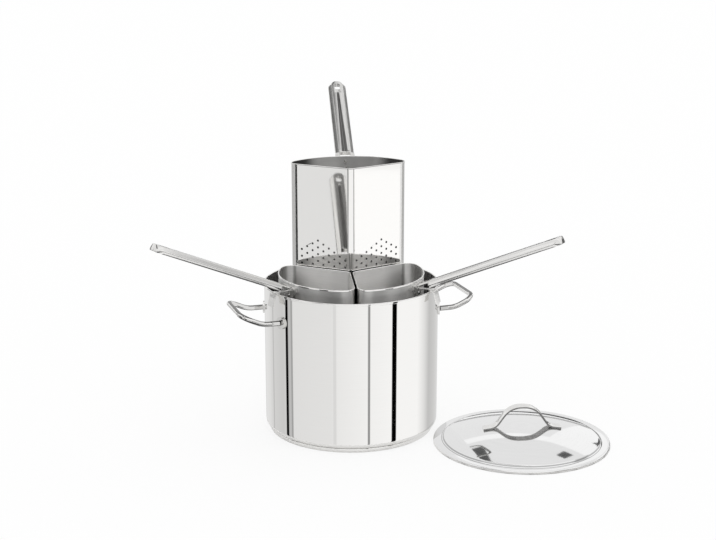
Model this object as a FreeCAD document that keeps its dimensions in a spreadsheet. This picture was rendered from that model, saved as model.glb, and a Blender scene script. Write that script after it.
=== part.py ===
import FreeCAD, Part
import math
import os
from collections import namedtuple

import Sketcher

# Pasta pot with three strainer baskets, each a third of a circle in plan, and a lid laid beside it.
# Millimetres, +Z up. The origin is on the pot's axis, on the surface that the pot stands on.

DIMENSIONS = {
    # pot shell and its base
    "pot_inner_radius": 120.0,
    "pot_wall": 1.0,
    "pot_height": 211.0,
    "pot_corner": 9.0,
    "bead_height": 3.5,
    "bead_out": 1.0,
    "bead_bevel": 0.8,
    "core_thickness": 5.0,
    "cap_sheet": 0.8,
    "cap_radius": 115.0,
    "cap_bevel": 0.9,
    # side handles of the pot
    "side_rod": 7.0,
    "side_foot_spacing": 85.0,
    "side_foot_drop": 39.0,
    "side_reach": 56.0,
    "side_bend": 16.0,
    "side_rise": 13.0,
    "side_azimuth": 18.5,
    "flange_radius": 8.5,
    "flange_thickness": 2.5,
    # lid
    "lid_radius": 121.5,
    "lid_sheet": 1.0,
    "lid_flange_height": 4.0,
    "lid_edge_bevel": 1.5,
    "lid_dome_radius": 107.0,
    "lid_step_width": 2.5,
    "lid_step_height": 2.5,
    "lid_dome_rise": 17.0,
    "lid_gap": 2.0,
    "lid_azimuth": -16.8,
    "lid_turn": 4.0,
    "strap_width": 15.0,
    "strap_thickness": 2.5,
    "strap_foot_end": 54.0,
    "strap_knee": 37.0,
    "strap_top_half": 17.0,
    "strap_rise": 28.0,
    "strap_knee_round": 16.0,
    "strap_top_round": 28.0,
    # strainer baskets
    "basket_wall_gap": 19.0,
    "basket_floor_gap": 17.2,
    "basket_sheet": 0.8,
    "basket_corner": 15.0,
    "basket_fold": 5.0,
    "basket_gap": 4.0,
    "basket_turn": 4.5,
    "hem_height": 2.0,
    "hem_thickness": 0.7,
    "rim_stand": 13.0,
    "rear_lift": 145.0,
    "floor_sheet": 1.0,
    "floor_raise": 2.0,
    # perforation
    "hole_half_diagonal": 2.0,
    "hole_column_pitch": 8.5,
    "hole_row_pitch": 9.8,
    "hole_first_row": 20.0,
    "hole_peak_height": 92.0,
    "hole_peak_place": 50.0,
    "hole_slope": 30.0,
    "hole_edge_margin": 6.0,
    "floor_hole_pitch": 15.0,
    "floor_hole_margin": 9.0,
    # basket handle, bracket, hook and rivets
    "grip_length": 222.0,
    "grip_width": 27.0,
    "grip_thickness": 7.0,
    "grip_slope": 23.4,
    "grip_root_drop": 9.5,
    "grip_corner": 10.0,
    "grip_edge_round": 2.0,
    "grip_channel_depth": 3.6,
    "grip_channel_wall": 1.6,
    "grip_groove_depth": 1.8,
    "grip_groove_root": 8.0,
    "grip_groove_tip": 3.0,
    "grip_fork_length": 22.0,
    "grip_fork_width": 15.4,
    "grip_hole_length": 17.0,
    "grip_hole_width": 9.0,
    "grip_hole_setback": 7.0,
    "bracket_width": 31.0,
    "bracket_tip_width": 9.0,
    "bracket_height": 19.0,
    "bracket_gap": 3.05,
    "bracket_sheet": 1.5,
    "hook_width": 14.0,
    "hook_sheet": 1.5,
    "hook_reach": 5.5,
    "hook_drop": 18.0,
    "hook_slant": 15.0,
    "hook_round": 2.0,
    "rivet_radius": 1.9,
    "rivet_head": 2.6,
    "rivet_head_height": 1.2,
    "rivet_upper_drop": 8.0,
    "rivet_lower_drop": 17.5,
    # clearances
    "weld_gap": 0.05,
    "seat_gap": 0.3,
}

SECTOR_HALF = "60 deg"
REAR_AZIMUTH = 90.0
LEFT_AZIMUTH = 210.0
RIGHT_AZIMUTH = 330.0
UP = FreeCAD.Vector(0, 0, 1)
SIDEWAYS = FreeCAD.Vector(0, 1, 0)

doc = FreeCAD.newDocument("pasta_pot")
sheet = doc.addObject("Spreadsheet::Sheet", "dims")
for row, (alias, number) in enumerate(DIMENSIONS.items(), start=1):
    cell = "A" + str(row)
    sheet.set(cell, str(number))
    sheet.setAlias(cell, alias)
doc.recompute()

subparts = []


def value(expression):
    """Number that an expression over the sheet's cells gives."""
    result = sheet.evalExpression(expression)
    return getattr(result, "Value", result)


# Derived lengths, as expressions over the sheet.
POT_OUTER = "(dims.pot_inner_radius + dims.pot_wall)"
BEAD_OUTER = f"({POT_OUTER} + dims.bead_out)"
BASE_HEIGHT = "(dims.cap_sheet + dims.core_thickness)"
POT_FLOOR = f"({BASE_HEIGHT} + dims.pot_wall)"
CAP_INNER = "(dims.cap_radius - dims.cap_sheet)"
SIDE_HALF = "(dims.side_foot_spacing / 2)"
SIDE_LEVEL = "(dims.pot_height - dims.side_foot_drop)"
SIDE_FOOT = f"sqrt({POT_OUTER}^2 - {SIDE_HALF}^2)"
FLANGE_FACE = f"({POT_OUTER} + dims.flange_thickness)"
RIDGE_HEIGHT = "(dims.lid_flange_height + dims.lid_step_height)"
LID_TOP = f"({RIDGE_HEIGHT} + dims.lid_dome_rise)"
DOME_ARC = "((dims.lid_dome_radius^2 + dims.lid_dome_rise^2) / (2 * dims.lid_dome_rise))"
BASKET_RADIUS = "(dims.pot_inner_radius - dims.basket_wall_gap)"
BASKET_SEAT = f"({POT_FLOOR} + dims.basket_floor_gap)"
BASKET_HEIGHT = f"(dims.pot_height + dims.rim_stand - {BASKET_SEAT})"
SECTOR_SIDE = "(dims.basket_gap / 2)"
CORNER_OFFSET = f"({SECTOR_SIDE} + dims.basket_corner)"
CORNER_ORBIT = f"({BASKET_RADIUS} - dims.basket_corner)"
CORNER_REACH = f"sqrt({CORNER_ORBIT}^2 - {CORNER_OFFSET}^2)"
ARC_HALF = f"({SECTOR_HALF} - asin({CORNER_OFFSET} / {CORNER_ORBIT}))"
FOLD_CENTRE = f"(({SECTOR_SIDE} + dims.basket_fold) / sin({SECTOR_HALF}))"
FOLD_REACH = f"({FOLD_CENTRE} * cos({SECTOR_HALF}))"
BRACKET_FACE = f"({BASKET_RADIUS} + dims.weld_gap + dims.bracket_sheet)"
BRACKET_TOP = f"({BASKET_HEIGHT} - dims.hem_height - dims.bracket_gap)"
HOOK_SEAT = f"({BASKET_HEIGHT} - dims.rim_stand + dims.seat_gap)"
HOOK_BEND = f"({POT_OUTER} + dims.hook_reach)"

# A corner of a sketched outline: x and y are expressions. round is the radius of a rounded corner, arc
# the radius of the edge that arrives there, and turn +1 where that edge bends left and -1 where right.
Corner = namedtuple("Corner", "x y round arc turn", defaults=(None, None, 1))


def new_body(name):
    return doc.addObject("PartDesign::Body", name)


def new_sketch(body, name, role, height=None):
    """Sketch on one of the body's own origin planes, moved along the plane's normal by height."""
    plane = next(item for item in body.Origin.OriginFeatures if item.Role == role)
    sketch = body.newObject("Sketcher::SketchObject", body.Name + "_" + name)
    sketch.AttachmentSupport = [(plane, "")]
    sketch.MapMode = "FlatFace"
    if height is not None:
        sketch.setExpression("AttachmentOffset.Base.z", height)
    return sketch


def bind(sketch, constraint, expression):
    index = sketch.addConstraint(constraint)
    sketch.setExpression(f"Constraints[{index}]", expression)


def place_point(sketch, geometry, end, corner):
    """Tie a point of the sketch to its corner's two expressions."""
    for kind, axis, expression in (("DistanceX", -2, corner.x), ("DistanceY", -1, corner.y)):
        if expression == "0":
            sketch.addConstraint(Sketcher.Constraint("PointOnObject", geometry, end, axis))
        else:
            distance = Sketcher.Constraint(kind, -1, 1, geometry, end, value(expression))
            bind(sketch, distance, expression)


def arc_through(start, end, radius, turn):
    """The shorter arc from start to end, bending left where turn is +1."""
    chord = end - start
    left = FreeCAD.Vector(-chord.y, chord.x, 0).normalize()
    sagitta = radius - math.sqrt(max(radius ** 2 - (chord.Length / 2) ** 2, 0.0))
    return Part.Arc(start, start + chord * 0.5 - left * (turn * sagitta), end)


def draw(sketch, corners, closed=True):
    """Draw lines and arcs through the corners, with every size tied to the sheet."""
    spots = [FreeCAD.Vector(value(corner.x), value(corner.y), 0) for corner in corners]
    count = len(corners)
    arrive = list(spots)
    leave = list(spots)
    blends = {}
    for index, corner in enumerate(corners):
        if corner.round is None:
            continue
        spot = spots[index]
        before = (spots[index - 1] - spot).normalize()
        after = (spots[(index + 1) % count] - spot).normalize()
        half = before.getAngle(after) / 2
        radius = value(corner.round)
        arrive[index] = spot + before * (radius / math.tan(half))
        leave[index] = spot + after * (radius / math.tan(half))
        centre = spot + (before + after).normalize() * (radius / math.sin(half))
        middle = centre + (spot - centre).normalize() * radius
        blends[index] = sketch.addGeometry(Part.Arc(arrive[index], middle, leave[index]))

    edges = {}
    for index in range(count if closed else count - 1):
        target = (index + 1) % count
        corner = corners[target]
        if corner.arc is None:
            shape = Part.LineSegment(leave[index], arrive[target])
        else:
            shape = arc_through(leave[index], arrive[target], value(corner.arc), corner.turn)
        edges[index] = sketch.addGeometry(shape)

    def end_at(geometry, spot):
        first = sketch.getPoint(geometry, 1)
        return 1 if first.distanceToPoint(spot) < sketch.getPoint(geometry, 2).distanceToPoint(spot) else 2

    for index, corner in enumerate(corners):
        into = edges.get((index - 1) % count)
        out_of = edges.get(index)
        if index in blends:
            blend = blends[index]
            mark = sketch.addGeometry(Part.Point(spots[index]), True)
            place_point(sketch, mark, 1, corner)
            for edge, spot in ((into, arrive[index]), (out_of, leave[index])):
                sketch.addConstraint(Sketcher.Constraint("PointOnObject", mark, 1, edge))
                ends = (edge, end_at(edge, spot), blend, end_at(blend, spot))
                sketch.addConstraint(Sketcher.Constraint("Tangent", *ends))
            bind(sketch, Sketcher.Constraint("Radius", blend, value(corner.round)), corner.round)
        else:
            anchor = out_of if out_of is not None else into
            place_point(sketch, anchor, end_at(anchor, spots[index]), corner)
            if into is not None and out_of is not None:
                ends = (into, end_at(into, spots[index]), out_of, end_at(out_of, spots[index]))
                sketch.addConstraint(Sketcher.Constraint("Coincident", *ends))
        if corner.arc is not None:
            bind(sketch, Sketcher.Constraint("Radius", into, value(corner.arc)), corner.arc)
    return edges


def draw_circle(sketch, x, y, radius):
    centre = FreeCAD.Vector(value(x), value(y), 0)
    geometry = sketch.addGeometry(Part.Circle(centre, UP, value(radius)))
    place_point(sketch, geometry, 3, Corner(x, y))
    bind(sketch, Sketcher.Constraint("Radius", geometry, value(radius)), radius)


def revolve(body, sketch):
    feature = body.newObject("PartDesign::Revolution", sketch.Name + "_turned")
    feature.Profile = sketch
    feature.ReferenceAxis = (sketch, ["V_Axis"])
    feature.Angle = 360.0
    return feature


def pad(body, sketch, length, side="One side", reverse=False):
    feature = body.newObject("PartDesign::Pad", sketch.Name + "_pad")
    feature.Profile = sketch
    feature.setExpression("Length", length)
    feature.SideType = side
    feature.Reversed = reverse
    return feature


def pocket(body, sketch, length=None, side="One side", reverse=False):
    """Cut the sketch out of the body, through all of it where no length is given."""
    doc.recompute()
    before = body.Shape.Volume
    feature = body.newObject("PartDesign::Pocket", sketch.Name + "_cut")
    feature.Profile = sketch
    feature.SideType = side
    feature.Reversed = reverse
    if length is None:
        feature.Type = "ThroughAll"
    else:
        feature.setExpression("Length", length)
    doc.recompute()
    if body.Shape.Volume >= before:
        raise ValueError(feature.Name + " cuts nothing")
    return feature


def cylinder(name, radius, height, below="0"):
    """Upright cylinder on the local origin, reaching below it by the given length."""
    tool = doc.addObject("Part::Cylinder", name)
    tool.setExpression("Radius", radius)
    tool.setExpression("Height", height)
    tool.setExpression("Placement.Base.z", f"-({below})")
    return tool


def cut(name, base, tool):
    feature = doc.addObject("Part::Cut", name)
    feature.Base = base
    feature.Tool = tool
    return feature


def finish(item, label, placement=None):
    """Name a sub-part, put it in its place and list it for writing."""
    item.Label = label
    if placement is not None:
        item.Placement = placement
    subparts.append(item)


def turned(degrees, axis=UP):
    return FreeCAD.Placement(FreeCAD.Vector(), FreeCAD.Rotation(axis, degrees))


def moved(x=0.0, y=0.0, z=0.0):
    return FreeCAD.Placement(FreeCAD.Vector(x, y, z), FreeCAD.Rotation())


# Pot


def make_pot_shell():
    body = new_body("pot_shell_body")
    sketch = new_sketch(body, "profile", "XZ_Plane")
    inner = "dims.pot_inner_radius"
    below_bevel = "dims.pot_height - dims.bead_bevel"
    draw(sketch, [
        Corner("0", BASE_HEIGHT),
        Corner(POT_OUTER, BASE_HEIGHT, round="dims.pot_corner"),
        Corner(POT_OUTER, "dims.pot_height - dims.bead_height"),
        Corner(BEAD_OUTER, "dims.pot_height - dims.bead_height + dims.bead_out"),
        Corner(BEAD_OUTER, below_bevel),
        Corner(f"{BEAD_OUTER} - dims.bead_bevel", "dims.pot_height"),
        Corner(f"{inner} + dims.bead_bevel", "dims.pot_height"),
        Corner(inner, below_bevel),
        Corner(inner, POT_FLOOR, round="dims.pot_corner - dims.pot_wall"),
        Corner("0", POT_FLOOR),
    ])
    revolve(body, sketch)
    finish(body, "pot_shell")


def make_base_core():
    body = new_body("base_core_body")
    sketch = new_sketch(body, "profile", "XZ_Plane")
    radius = f"({CAP_INNER} - dims.weld_gap)"
    draw(sketch, [
        Corner("0", "dims.cap_sheet"),
        Corner(radius, "dims.cap_sheet"),
        Corner(radius, BASE_HEIGHT),
        Corner("0", BASE_HEIGHT),
    ])
    revolve(body, sketch)
    finish(body, "base_core")


def make_base_cap():
    body = new_body("base_cap_body")
    sketch = new_sketch(body, "profile", "XZ_Plane")
    draw(sketch, [
        Corner("0", "0"),
        Corner("dims.cap_radius - dims.cap_bevel", "0"),
        Corner("dims.cap_radius", "dims.cap_bevel"),
        Corner("dims.cap_radius", BASE_HEIGHT),
        Corner(CAP_INNER, BASE_HEIGHT),
        Corner(CAP_INNER, "dims.cap_sheet"),
        Corner("0", "dims.cap_sheet"),
    ])
    revolve(body, sketch)
    finish(body, "base_cap")


def make_side_handle(side, azimuth):
    """Bent rod whose two feet end on round weld flanges on the pot's wall."""
    place = moved(z=value(SIDE_LEVEL)) * turned(azimuth)
    body = new_body(side + "_rod")
    path = new_sketch(body, "path", "XY_Plane")
    path.AttachmentOffset = FreeCAD.Placement(FreeCAD.Vector(), FreeCAD.Rotation(-SIDEWAYS, 1.0))
    path.setExpression("AttachmentOffset.Base.x", SIDE_FOOT)
    path.setExpression("AttachmentOffset.Rotation.Angle", "dims.side_rise")
    bend = "dims.side_bend"
    draw(path, [
        Corner("-dims.side_rod", f"-{SIDE_HALF}"),
        Corner("dims.side_reach", f"-{SIDE_HALF}", round=bend),
        Corner("dims.side_reach", SIDE_HALF, round=bend),
        Corner("-dims.side_rod", SIDE_HALF),
    ], closed=False)
    profile = new_sketch(body, "section", "YZ_Plane")
    tilt_axis = FreeCAD.Vector(-1, 0, 0)
    profile.AttachmentOffset = FreeCAD.Placement(FreeCAD.Vector(), FreeCAD.Rotation(tilt_axis, 1.0))
    profile.setExpression("AttachmentOffset.Base.z", f"{SIDE_FOOT} - dims.side_rod * cos(dims.side_rise)")
    profile.setExpression("AttachmentOffset.Base.y", "-dims.side_rod * sin(dims.side_rise)")
    profile.setExpression("AttachmentOffset.Rotation.Angle", "dims.side_rise")
    draw_circle(profile, f"-{SIDE_HALF}", "0", "dims.side_rod / 2")
    doc.recompute()
    pipe = body.newObject("PartDesign::AdditivePipe", side + "_rod_sweep")
    pipe.Profile = profile
    pipe.Spine = (path, [f"Edge{number + 1}" for number in range(len(path.Shape.Edges))])
    tool = cylinder(
        side + "_rod_trim",
        f"{FLANGE_FACE} + dims.weld_gap + dims.flange_radius^2 / (2 * {FLANGE_FACE})",
        "4 * dims.side_rod",
        below="2 * dims.side_rod",
    )
    finish(cut(side + "_rod_cut", body, tool), "pot_handle_" + side, place)

    half_angle = math.degrees(math.asin(value(SIDE_HALF) / value(POT_OUTER)))
    front = -1 if side == "right" else 1
    for end, sign in (("front", front), ("rear", -front)):
        make_flange(f"pot_handle_{side}_{end}_flange", azimuth + sign * half_angle)


def make_flange(label, azimuth):
    """Round plate with a flat outer face, hollowed to lie on the pot's wall."""
    body = new_body(label + "_disc")
    sketch = new_sketch(body, "outline", "YZ_Plane", height=f"{POT_OUTER} - dims.flange_thickness")
    draw_circle(sketch, "0", "0", "dims.flange_radius")
    pad(body, sketch, "2 * dims.flange_thickness")
    tool = cylinder(
        label + "_seat",
        f"{POT_OUTER} + dims.weld_gap",
        "4 * dims.flange_radius",
        below="2 * dims.flange_radius",
    )
    place = moved(z=value(SIDE_LEVEL)) * turned(azimuth)
    finish(cut(label + "_cut", body, tool), label, place)


# Lid


def lid_placement():
    """On the floor beside the pot, at lid_gap from its bead, so that it lifts straight up past it."""
    distance = value(f"{BEAD_OUTER} + dims.lid_gap + dims.lid_radius")
    azimuth = value("dims.lid_azimuth")
    return turned(azimuth) * moved(distance) * turned(value("dims.lid_turn") - azimuth)


def make_lid_shell():
    body = new_body("lid_shell_body")
    sketch = new_sketch(body, "profile", "XZ_Plane")
    edge = "dims.lid_radius"
    inner_edge = "(dims.lid_radius - dims.lid_sheet)"
    step = "(dims.lid_dome_radius + dims.lid_step_width)"
    flange = "dims.lid_flange_height"
    under = "(dims.lid_flange_height - dims.lid_sheet)"
    draw(sketch, [
        Corner("0", f"{LID_TOP} - dims.lid_sheet"),
        Corner("dims.lid_dome_radius", f"{RIDGE_HEIGHT} - dims.lid_sheet", arc=DOME_ARC, turn=-1),
        Corner(step, under),
        Corner(f"{inner_edge} - dims.lid_edge_bevel", under),
        Corner(inner_edge, f"{under} - dims.lid_edge_bevel"),
        Corner(inner_edge, "0"),
        Corner(edge, "0"),
        Corner(edge, f"{flange} - dims.lid_edge_bevel"),
        Corner(f"{edge} - dims.lid_edge_bevel", flange),
        Corner(step, flange),
        Corner("dims.lid_dome_radius", RIDGE_HEIGHT),
        Corner("0", LID_TOP, arc=DOME_ARC, turn=1),
    ])
    revolve(body, sketch)
    finish(body, "lid_shell", lid_placement())


def make_lid_handle():
    """Strap bent into an arch, whose two feet lie on the dome."""
    body = new_body("lid_handle_strap")
    path = new_sketch(body, "path", "XZ_Plane")
    foot = "(dims.strap_foot_end + dims.strap_knee) / 2"
    drop = f"({DOME_ARC} - sqrt({DOME_ARC}^2 - ({foot})^2))"
    lean = f"({foot}) / sqrt({DOME_ARC}^2 - ({foot})^2)"
    clear = "(dims.strap_thickness / 2 + dims.weld_gap)"
    reach = "(dims.strap_foot_end - dims.strap_knee) / 2"
    outer = f"({LID_TOP} - {drop} + {clear} - {reach} * {lean})"
    knee = f"({LID_TOP} - {drop} + {clear} + {reach} * {lean})"
    top = f"({LID_TOP} + dims.strap_rise)"
    draw(path, [
        Corner("-dims.strap_foot_end", outer),
        Corner("-dims.strap_knee", knee, round="dims.strap_knee_round"),
        Corner("-dims.strap_top_half", top, round="dims.strap_top_round"),
        Corner("dims.strap_top_half", top, round="dims.strap_top_round"),
        Corner("dims.strap_knee", knee, round="dims.strap_knee_round"),
        Corner("dims.strap_foot_end", outer),
    ], closed=False)
    section = new_sketch(body, "section", "YZ_Plane", height="-dims.strap_foot_end")
    half_width = "dims.strap_width / 2"
    half_sheet = "dims.strap_thickness / 2"
    draw(section, [
        Corner(f"-{half_width}", f"{outer} - {half_sheet}"),
        Corner(half_width, f"{outer} - {half_sheet}"),
        Corner(half_width, f"{outer} + {half_sheet}"),
        Corner(f"-{half_width}", f"{outer} + {half_sheet}"),
    ])
    doc.recompute()
    pipe = body.newObject("PartDesign::AdditivePipe", "lid_handle_sweep")
    pipe.Profile = section
    pipe.Spine = (path, [f"Edge{number + 1}" for number in range(len(path.Shape.Edges))])
    finish(body, "lid_handle", lid_placement())


# Strainer baskets. Each piece is drawn in the basket's own frame: +X along the basket's middle line, away
# from the pot's axis, and z = 0 at the basket's lower edge.


def arc_point(inset, sign):
    """Where the arc wall meets its corner, on the outline moved inwards by inset."""
    radius = f"({BASKET_RADIUS} - {inset})"
    return f"{radius} * cos({ARC_HALF})", f"{sign} * {radius} * sin({ARC_HALF})"


def side_point(inset, sign):
    """Where a flat side meets its corner."""
    offset = f"({SECTOR_SIDE} + {inset})"
    x = f"{CORNER_REACH} * cos({SECTOR_HALF}) + {offset} * sin({SECTOR_HALF})"
    y = f"{sign} * ({CORNER_REACH} * sin({SECTOR_HALF}) - {offset} * cos({SECTOR_HALF}))"
    return x, y


def fold_point(inset, sign):
    """Where a flat side meets the inner fold."""
    radius = f"(dims.basket_fold - {inset})"
    return f"{FOLD_CENTRE} - {radius} * sin({SECTOR_HALF})", f"{sign} * {radius} * cos({SECTOR_HALF})"


def arc_band(outer, inner):
    """Outline of the arc wall with its two corners, between two insets."""
    corner_outer = f"dims.basket_corner - {outer}"
    corner_inner = f"dims.basket_corner - {inner}"
    return [
        Corner(*side_point(outer, -1)),
        Corner(*arc_point(outer, -1), arc=corner_outer),
        Corner(*arc_point(outer, 1), arc=f"{BASKET_RADIUS} - {outer}"),
        Corner(*side_point(outer, 1), arc=corner_outer),
        Corner(*side_point(inner, 1)),
        Corner(*arc_point(inner, 1), arc=corner_inner, turn=-1),
        Corner(*arc_point(inner, -1), arc=f"{BASKET_RADIUS} - {inner}", turn=-1),
        Corner(*side_point(inner, -1), arc=corner_inner, turn=-1),
    ]


def make_arc_wall(side, place):
    body = new_body(side + "_arc_wall_body")
    wall = new_sketch(body, "wall", "XY_Plane")
    draw(wall, arc_band("0", "dims.basket_sheet"))
    pad(body, wall, BASKET_HEIGHT)
    hem = new_sketch(body, "hem", "XY_Plane", height=f"{BASKET_HEIGHT} - dims.hem_height")
    draw(hem, arc_band("(-dims.hem_thickness)", "0"))
    pad(body, hem, "dims.hem_height")
    holes = new_sketch(body, "rivet_holes", "YZ_Plane", height=CORNER_ORBIT)
    for drop in ("dims.rivet_upper_drop", "dims.rivet_lower_drop"):
        draw_circle(holes, "0", f"{BASKET_HEIGHT} - {drop}", "dims.rivet_radius + dims.weld_gap")
    pocket(body, holes, "2 * dims.basket_corner", reverse=True)
    finish(body, side + "_basket_arc_wall", place)


def draw_diamonds(sketch, spots):
    """Four-sided holes with the area of the round ones, which keeps their faces few."""
    reach = value("dims.hole_half_diagonal")
    lines = []
    for x, y in spots:
        ring = [(x + reach, y), (x, y + reach), (x - reach, y), (x, y - reach)]
        points = [FreeCAD.Vector(*point, 0) for point in ring]
        for first, second in zip(points, points[1:] + points[:1]):
            lines.append(Part.LineSegment(first, second))
    sketch.addGeometry(lines)


def panel_holes():
    """Staggered columns of holes under a gable-shaped upper limit, in a panel's own frame."""
    margin = value("dims.hole_edge_margin")
    start = value(FOLD_REACH) + margin
    room = value(CORNER_REACH) - margin - start
    pitch = value("dims.hole_column_pitch")
    columns = int(room // pitch) + 1
    start += (room - (columns - 1) * pitch) / 2
    slope = math.tan(math.radians(value("dims.hole_slope")))
    row_pitch = value("dims.hole_row_pitch")
    spots = []
    for column in range(columns):
        x = start + column * pitch
        top = value("dims.hole_peak_height") - slope * abs(x - value("dims.hole_peak_place"))
        y = value("dims.hole_first_row") + row_pitch / 2 * (column % 2)
        while y <= top:
            spots.append((x, y))
            y += row_pitch
    return spots


def make_panel(side, hand, sign, place):
    """Flat perforated side. The one at sign +1 also carries the inner fold."""
    body = new_body(f"{side}_{hand}_panel_body")
    face = f"{sign} * {SECTOR_SIDE}"
    wall = new_sketch(body, "wall", "XZ_Plane", height=face)
    draw(wall, [
        Corner(FOLD_REACH, "0"),
        Corner(CORNER_REACH, "0"),
        Corner(CORNER_REACH, BASKET_HEIGHT),
        Corner(FOLD_REACH, BASKET_HEIGHT),
    ])
    draw_diamonds(wall, panel_holes())
    pad(body, wall, "dims.basket_sheet", reverse=sign < 0)
    hem = new_sketch(body, "hem", "XZ_Plane", height=face)
    draw(hem, [
        Corner(FOLD_REACH, f"{BASKET_HEIGHT} - dims.hem_height"),
        Corner(CORNER_REACH, f"{BASKET_HEIGHT} - dims.hem_height"),
        Corner(CORNER_REACH, BASKET_HEIGHT),
        Corner(FOLD_REACH, BASKET_HEIGHT),
    ])
    pad(body, hem, "dims.hem_thickness", reverse=sign > 0)
    if sign > 0:
        add_fold(body, "fold", "0", "dims.basket_sheet", "0", BASKET_HEIGHT)
        base = f"{BASKET_HEIGHT} - dims.hem_height"
        add_fold(body, "fold_hem", "(-dims.hem_thickness)", "0", base, "dims.hem_height")
    finish(body, f"{side}_basket_{hand}_panel", place * turned(sign * value(SECTOR_HALF)))


def add_fold(body, name, outer, inner, base, length):
    """Bent strip round the inner fold, drawn in the frame of the panel that carries it."""
    across = f"(-{FOLD_CENTRE} * sin({SECTOR_HALF}))"

    def spot(inset, angle):
        radius = f"(dims.basket_fold - {inset})"
        return f"{FOLD_REACH} + {radius} * cos({angle})", f"{across} + {radius} * sin({angle})"

    sketch = new_sketch(body, name, "XY_Plane", height=base)
    far = f"(90 deg + {SECTOR_HALF})"
    draw(sketch, [
        Corner(*spot(inner, "90 deg"), arc=f"dims.basket_fold - {inner}", turn=-1),
        Corner(*spot(outer, "90 deg")),
        Corner(*spot(outer, far), arc=f"dims.basket_fold - {outer}"),
        Corner(*spot(inner, far)),
    ])
    pad(body, sketch, length)


def floor_holes(inset):
    """Hexagonal grid of holes that keeps clear of the basket's walls."""
    margin = value("dims.floor_hole_margin") + value(inset)
    pitch = value("dims.floor_hole_pitch")
    half = math.radians(value(SECTOR_HALF))
    limit = value(BASKET_RADIUS) - margin
    rows = int(limit // pitch) + 1
    spots = []
    for row in range(-rows, rows + 1):
        y = row * pitch * math.sqrt(3) / 2
        for column in range(2 * rows):
            x = (column + row % 2 / 2) * pitch
            side_room = x * math.sin(half) - abs(y) * math.cos(half) - value(SECTOR_SIDE)
            if side_room >= margin and math.hypot(x, y) <= limit:
                spots.append((x, y))
    return spots


def make_floor(side, place):
    body = new_body(side + "_floor_body")
    inset = "(dims.basket_sheet + dims.weld_gap)"
    corner = f"dims.basket_corner - {inset}"
    plate = new_sketch(body, "plate", "XY_Plane", height="dims.floor_raise")
    draw(plate, [
        Corner(*fold_point(inset, -1), arc=f"dims.basket_fold - {inset}"),
        Corner(*side_point(inset, -1)),
        Corner(*arc_point(inset, -1), arc=corner),
        Corner(*arc_point(inset, 1), arc=f"{BASKET_RADIUS} - {inset}"),
        Corner(*side_point(inset, 1), arc=corner),
        Corner(*fold_point(inset, 1)),
    ])
    draw_diamonds(plate, floor_holes(inset))
    pad(body, plate, "dims.floor_sheet")
    finish(body, side + "_basket_floor", place)


def make_bracket(side, place):
    """Tapered plate bent to the arc wall, welded there under the hem."""
    body = new_body(side + "_bracket_body")
    inner = f"({BASKET_RADIUS} + dims.weld_gap)"
    half = f"asin(dims.bracket_width / 2 / {inner})"
    base = f"({BRACKET_TOP} - dims.bracket_height)"
    plate = new_sketch(body, "plate", "XY_Plane", height=base)
    draw(plate, [
        Corner(f"{inner} * cos({half})", f"-{inner} * sin({half})", arc=inner, turn=-1),
        Corner(f"{BRACKET_FACE} * cos({half})", f"-{BRACKET_FACE} * sin({half})"),
        Corner(f"{BRACKET_FACE} * cos({half})", f"{BRACKET_FACE} * sin({half})", arc=BRACKET_FACE),
        Corner(f"{inner} * cos({half})", f"{inner} * sin({half})"),
    ])
    pad(body, plate, "dims.bracket_height")
    for sign in (-1, 1):
        taper = new_sketch(body, "taper_right" if sign < 0 else "taper_left", "YZ_Plane")
        draw(taper, [
            Corner(f"{sign} * dims.bracket_tip_width / 2", f"{base} - dims.bracket_sheet"),
            Corner(f"{sign} * dims.bracket_width", f"{base} - dims.bracket_sheet"),
            Corner(f"{sign} * dims.bracket_width", BRACKET_TOP),
            Corner(f"{sign} * dims.bracket_width / 2", f"{base} + dims.bracket_height * 2 / 3"),
            Corner(f"{sign} * dims.bracket_tip_width / 2", base),
        ])
        pocket(body, taper, reverse=True)
    holes = new_sketch(body, "rivet_holes", "YZ_Plane")
    for drop in ("dims.rivet_upper_drop", "dims.rivet_lower_drop"):
        draw_circle(holes, "0", f"{BASKET_HEIGHT} - {drop}", "dims.rivet_radius + dims.weld_gap")
    pocket(body, holes, reverse=True)
    finish(body, side + "_basket_bracket", place)


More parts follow.
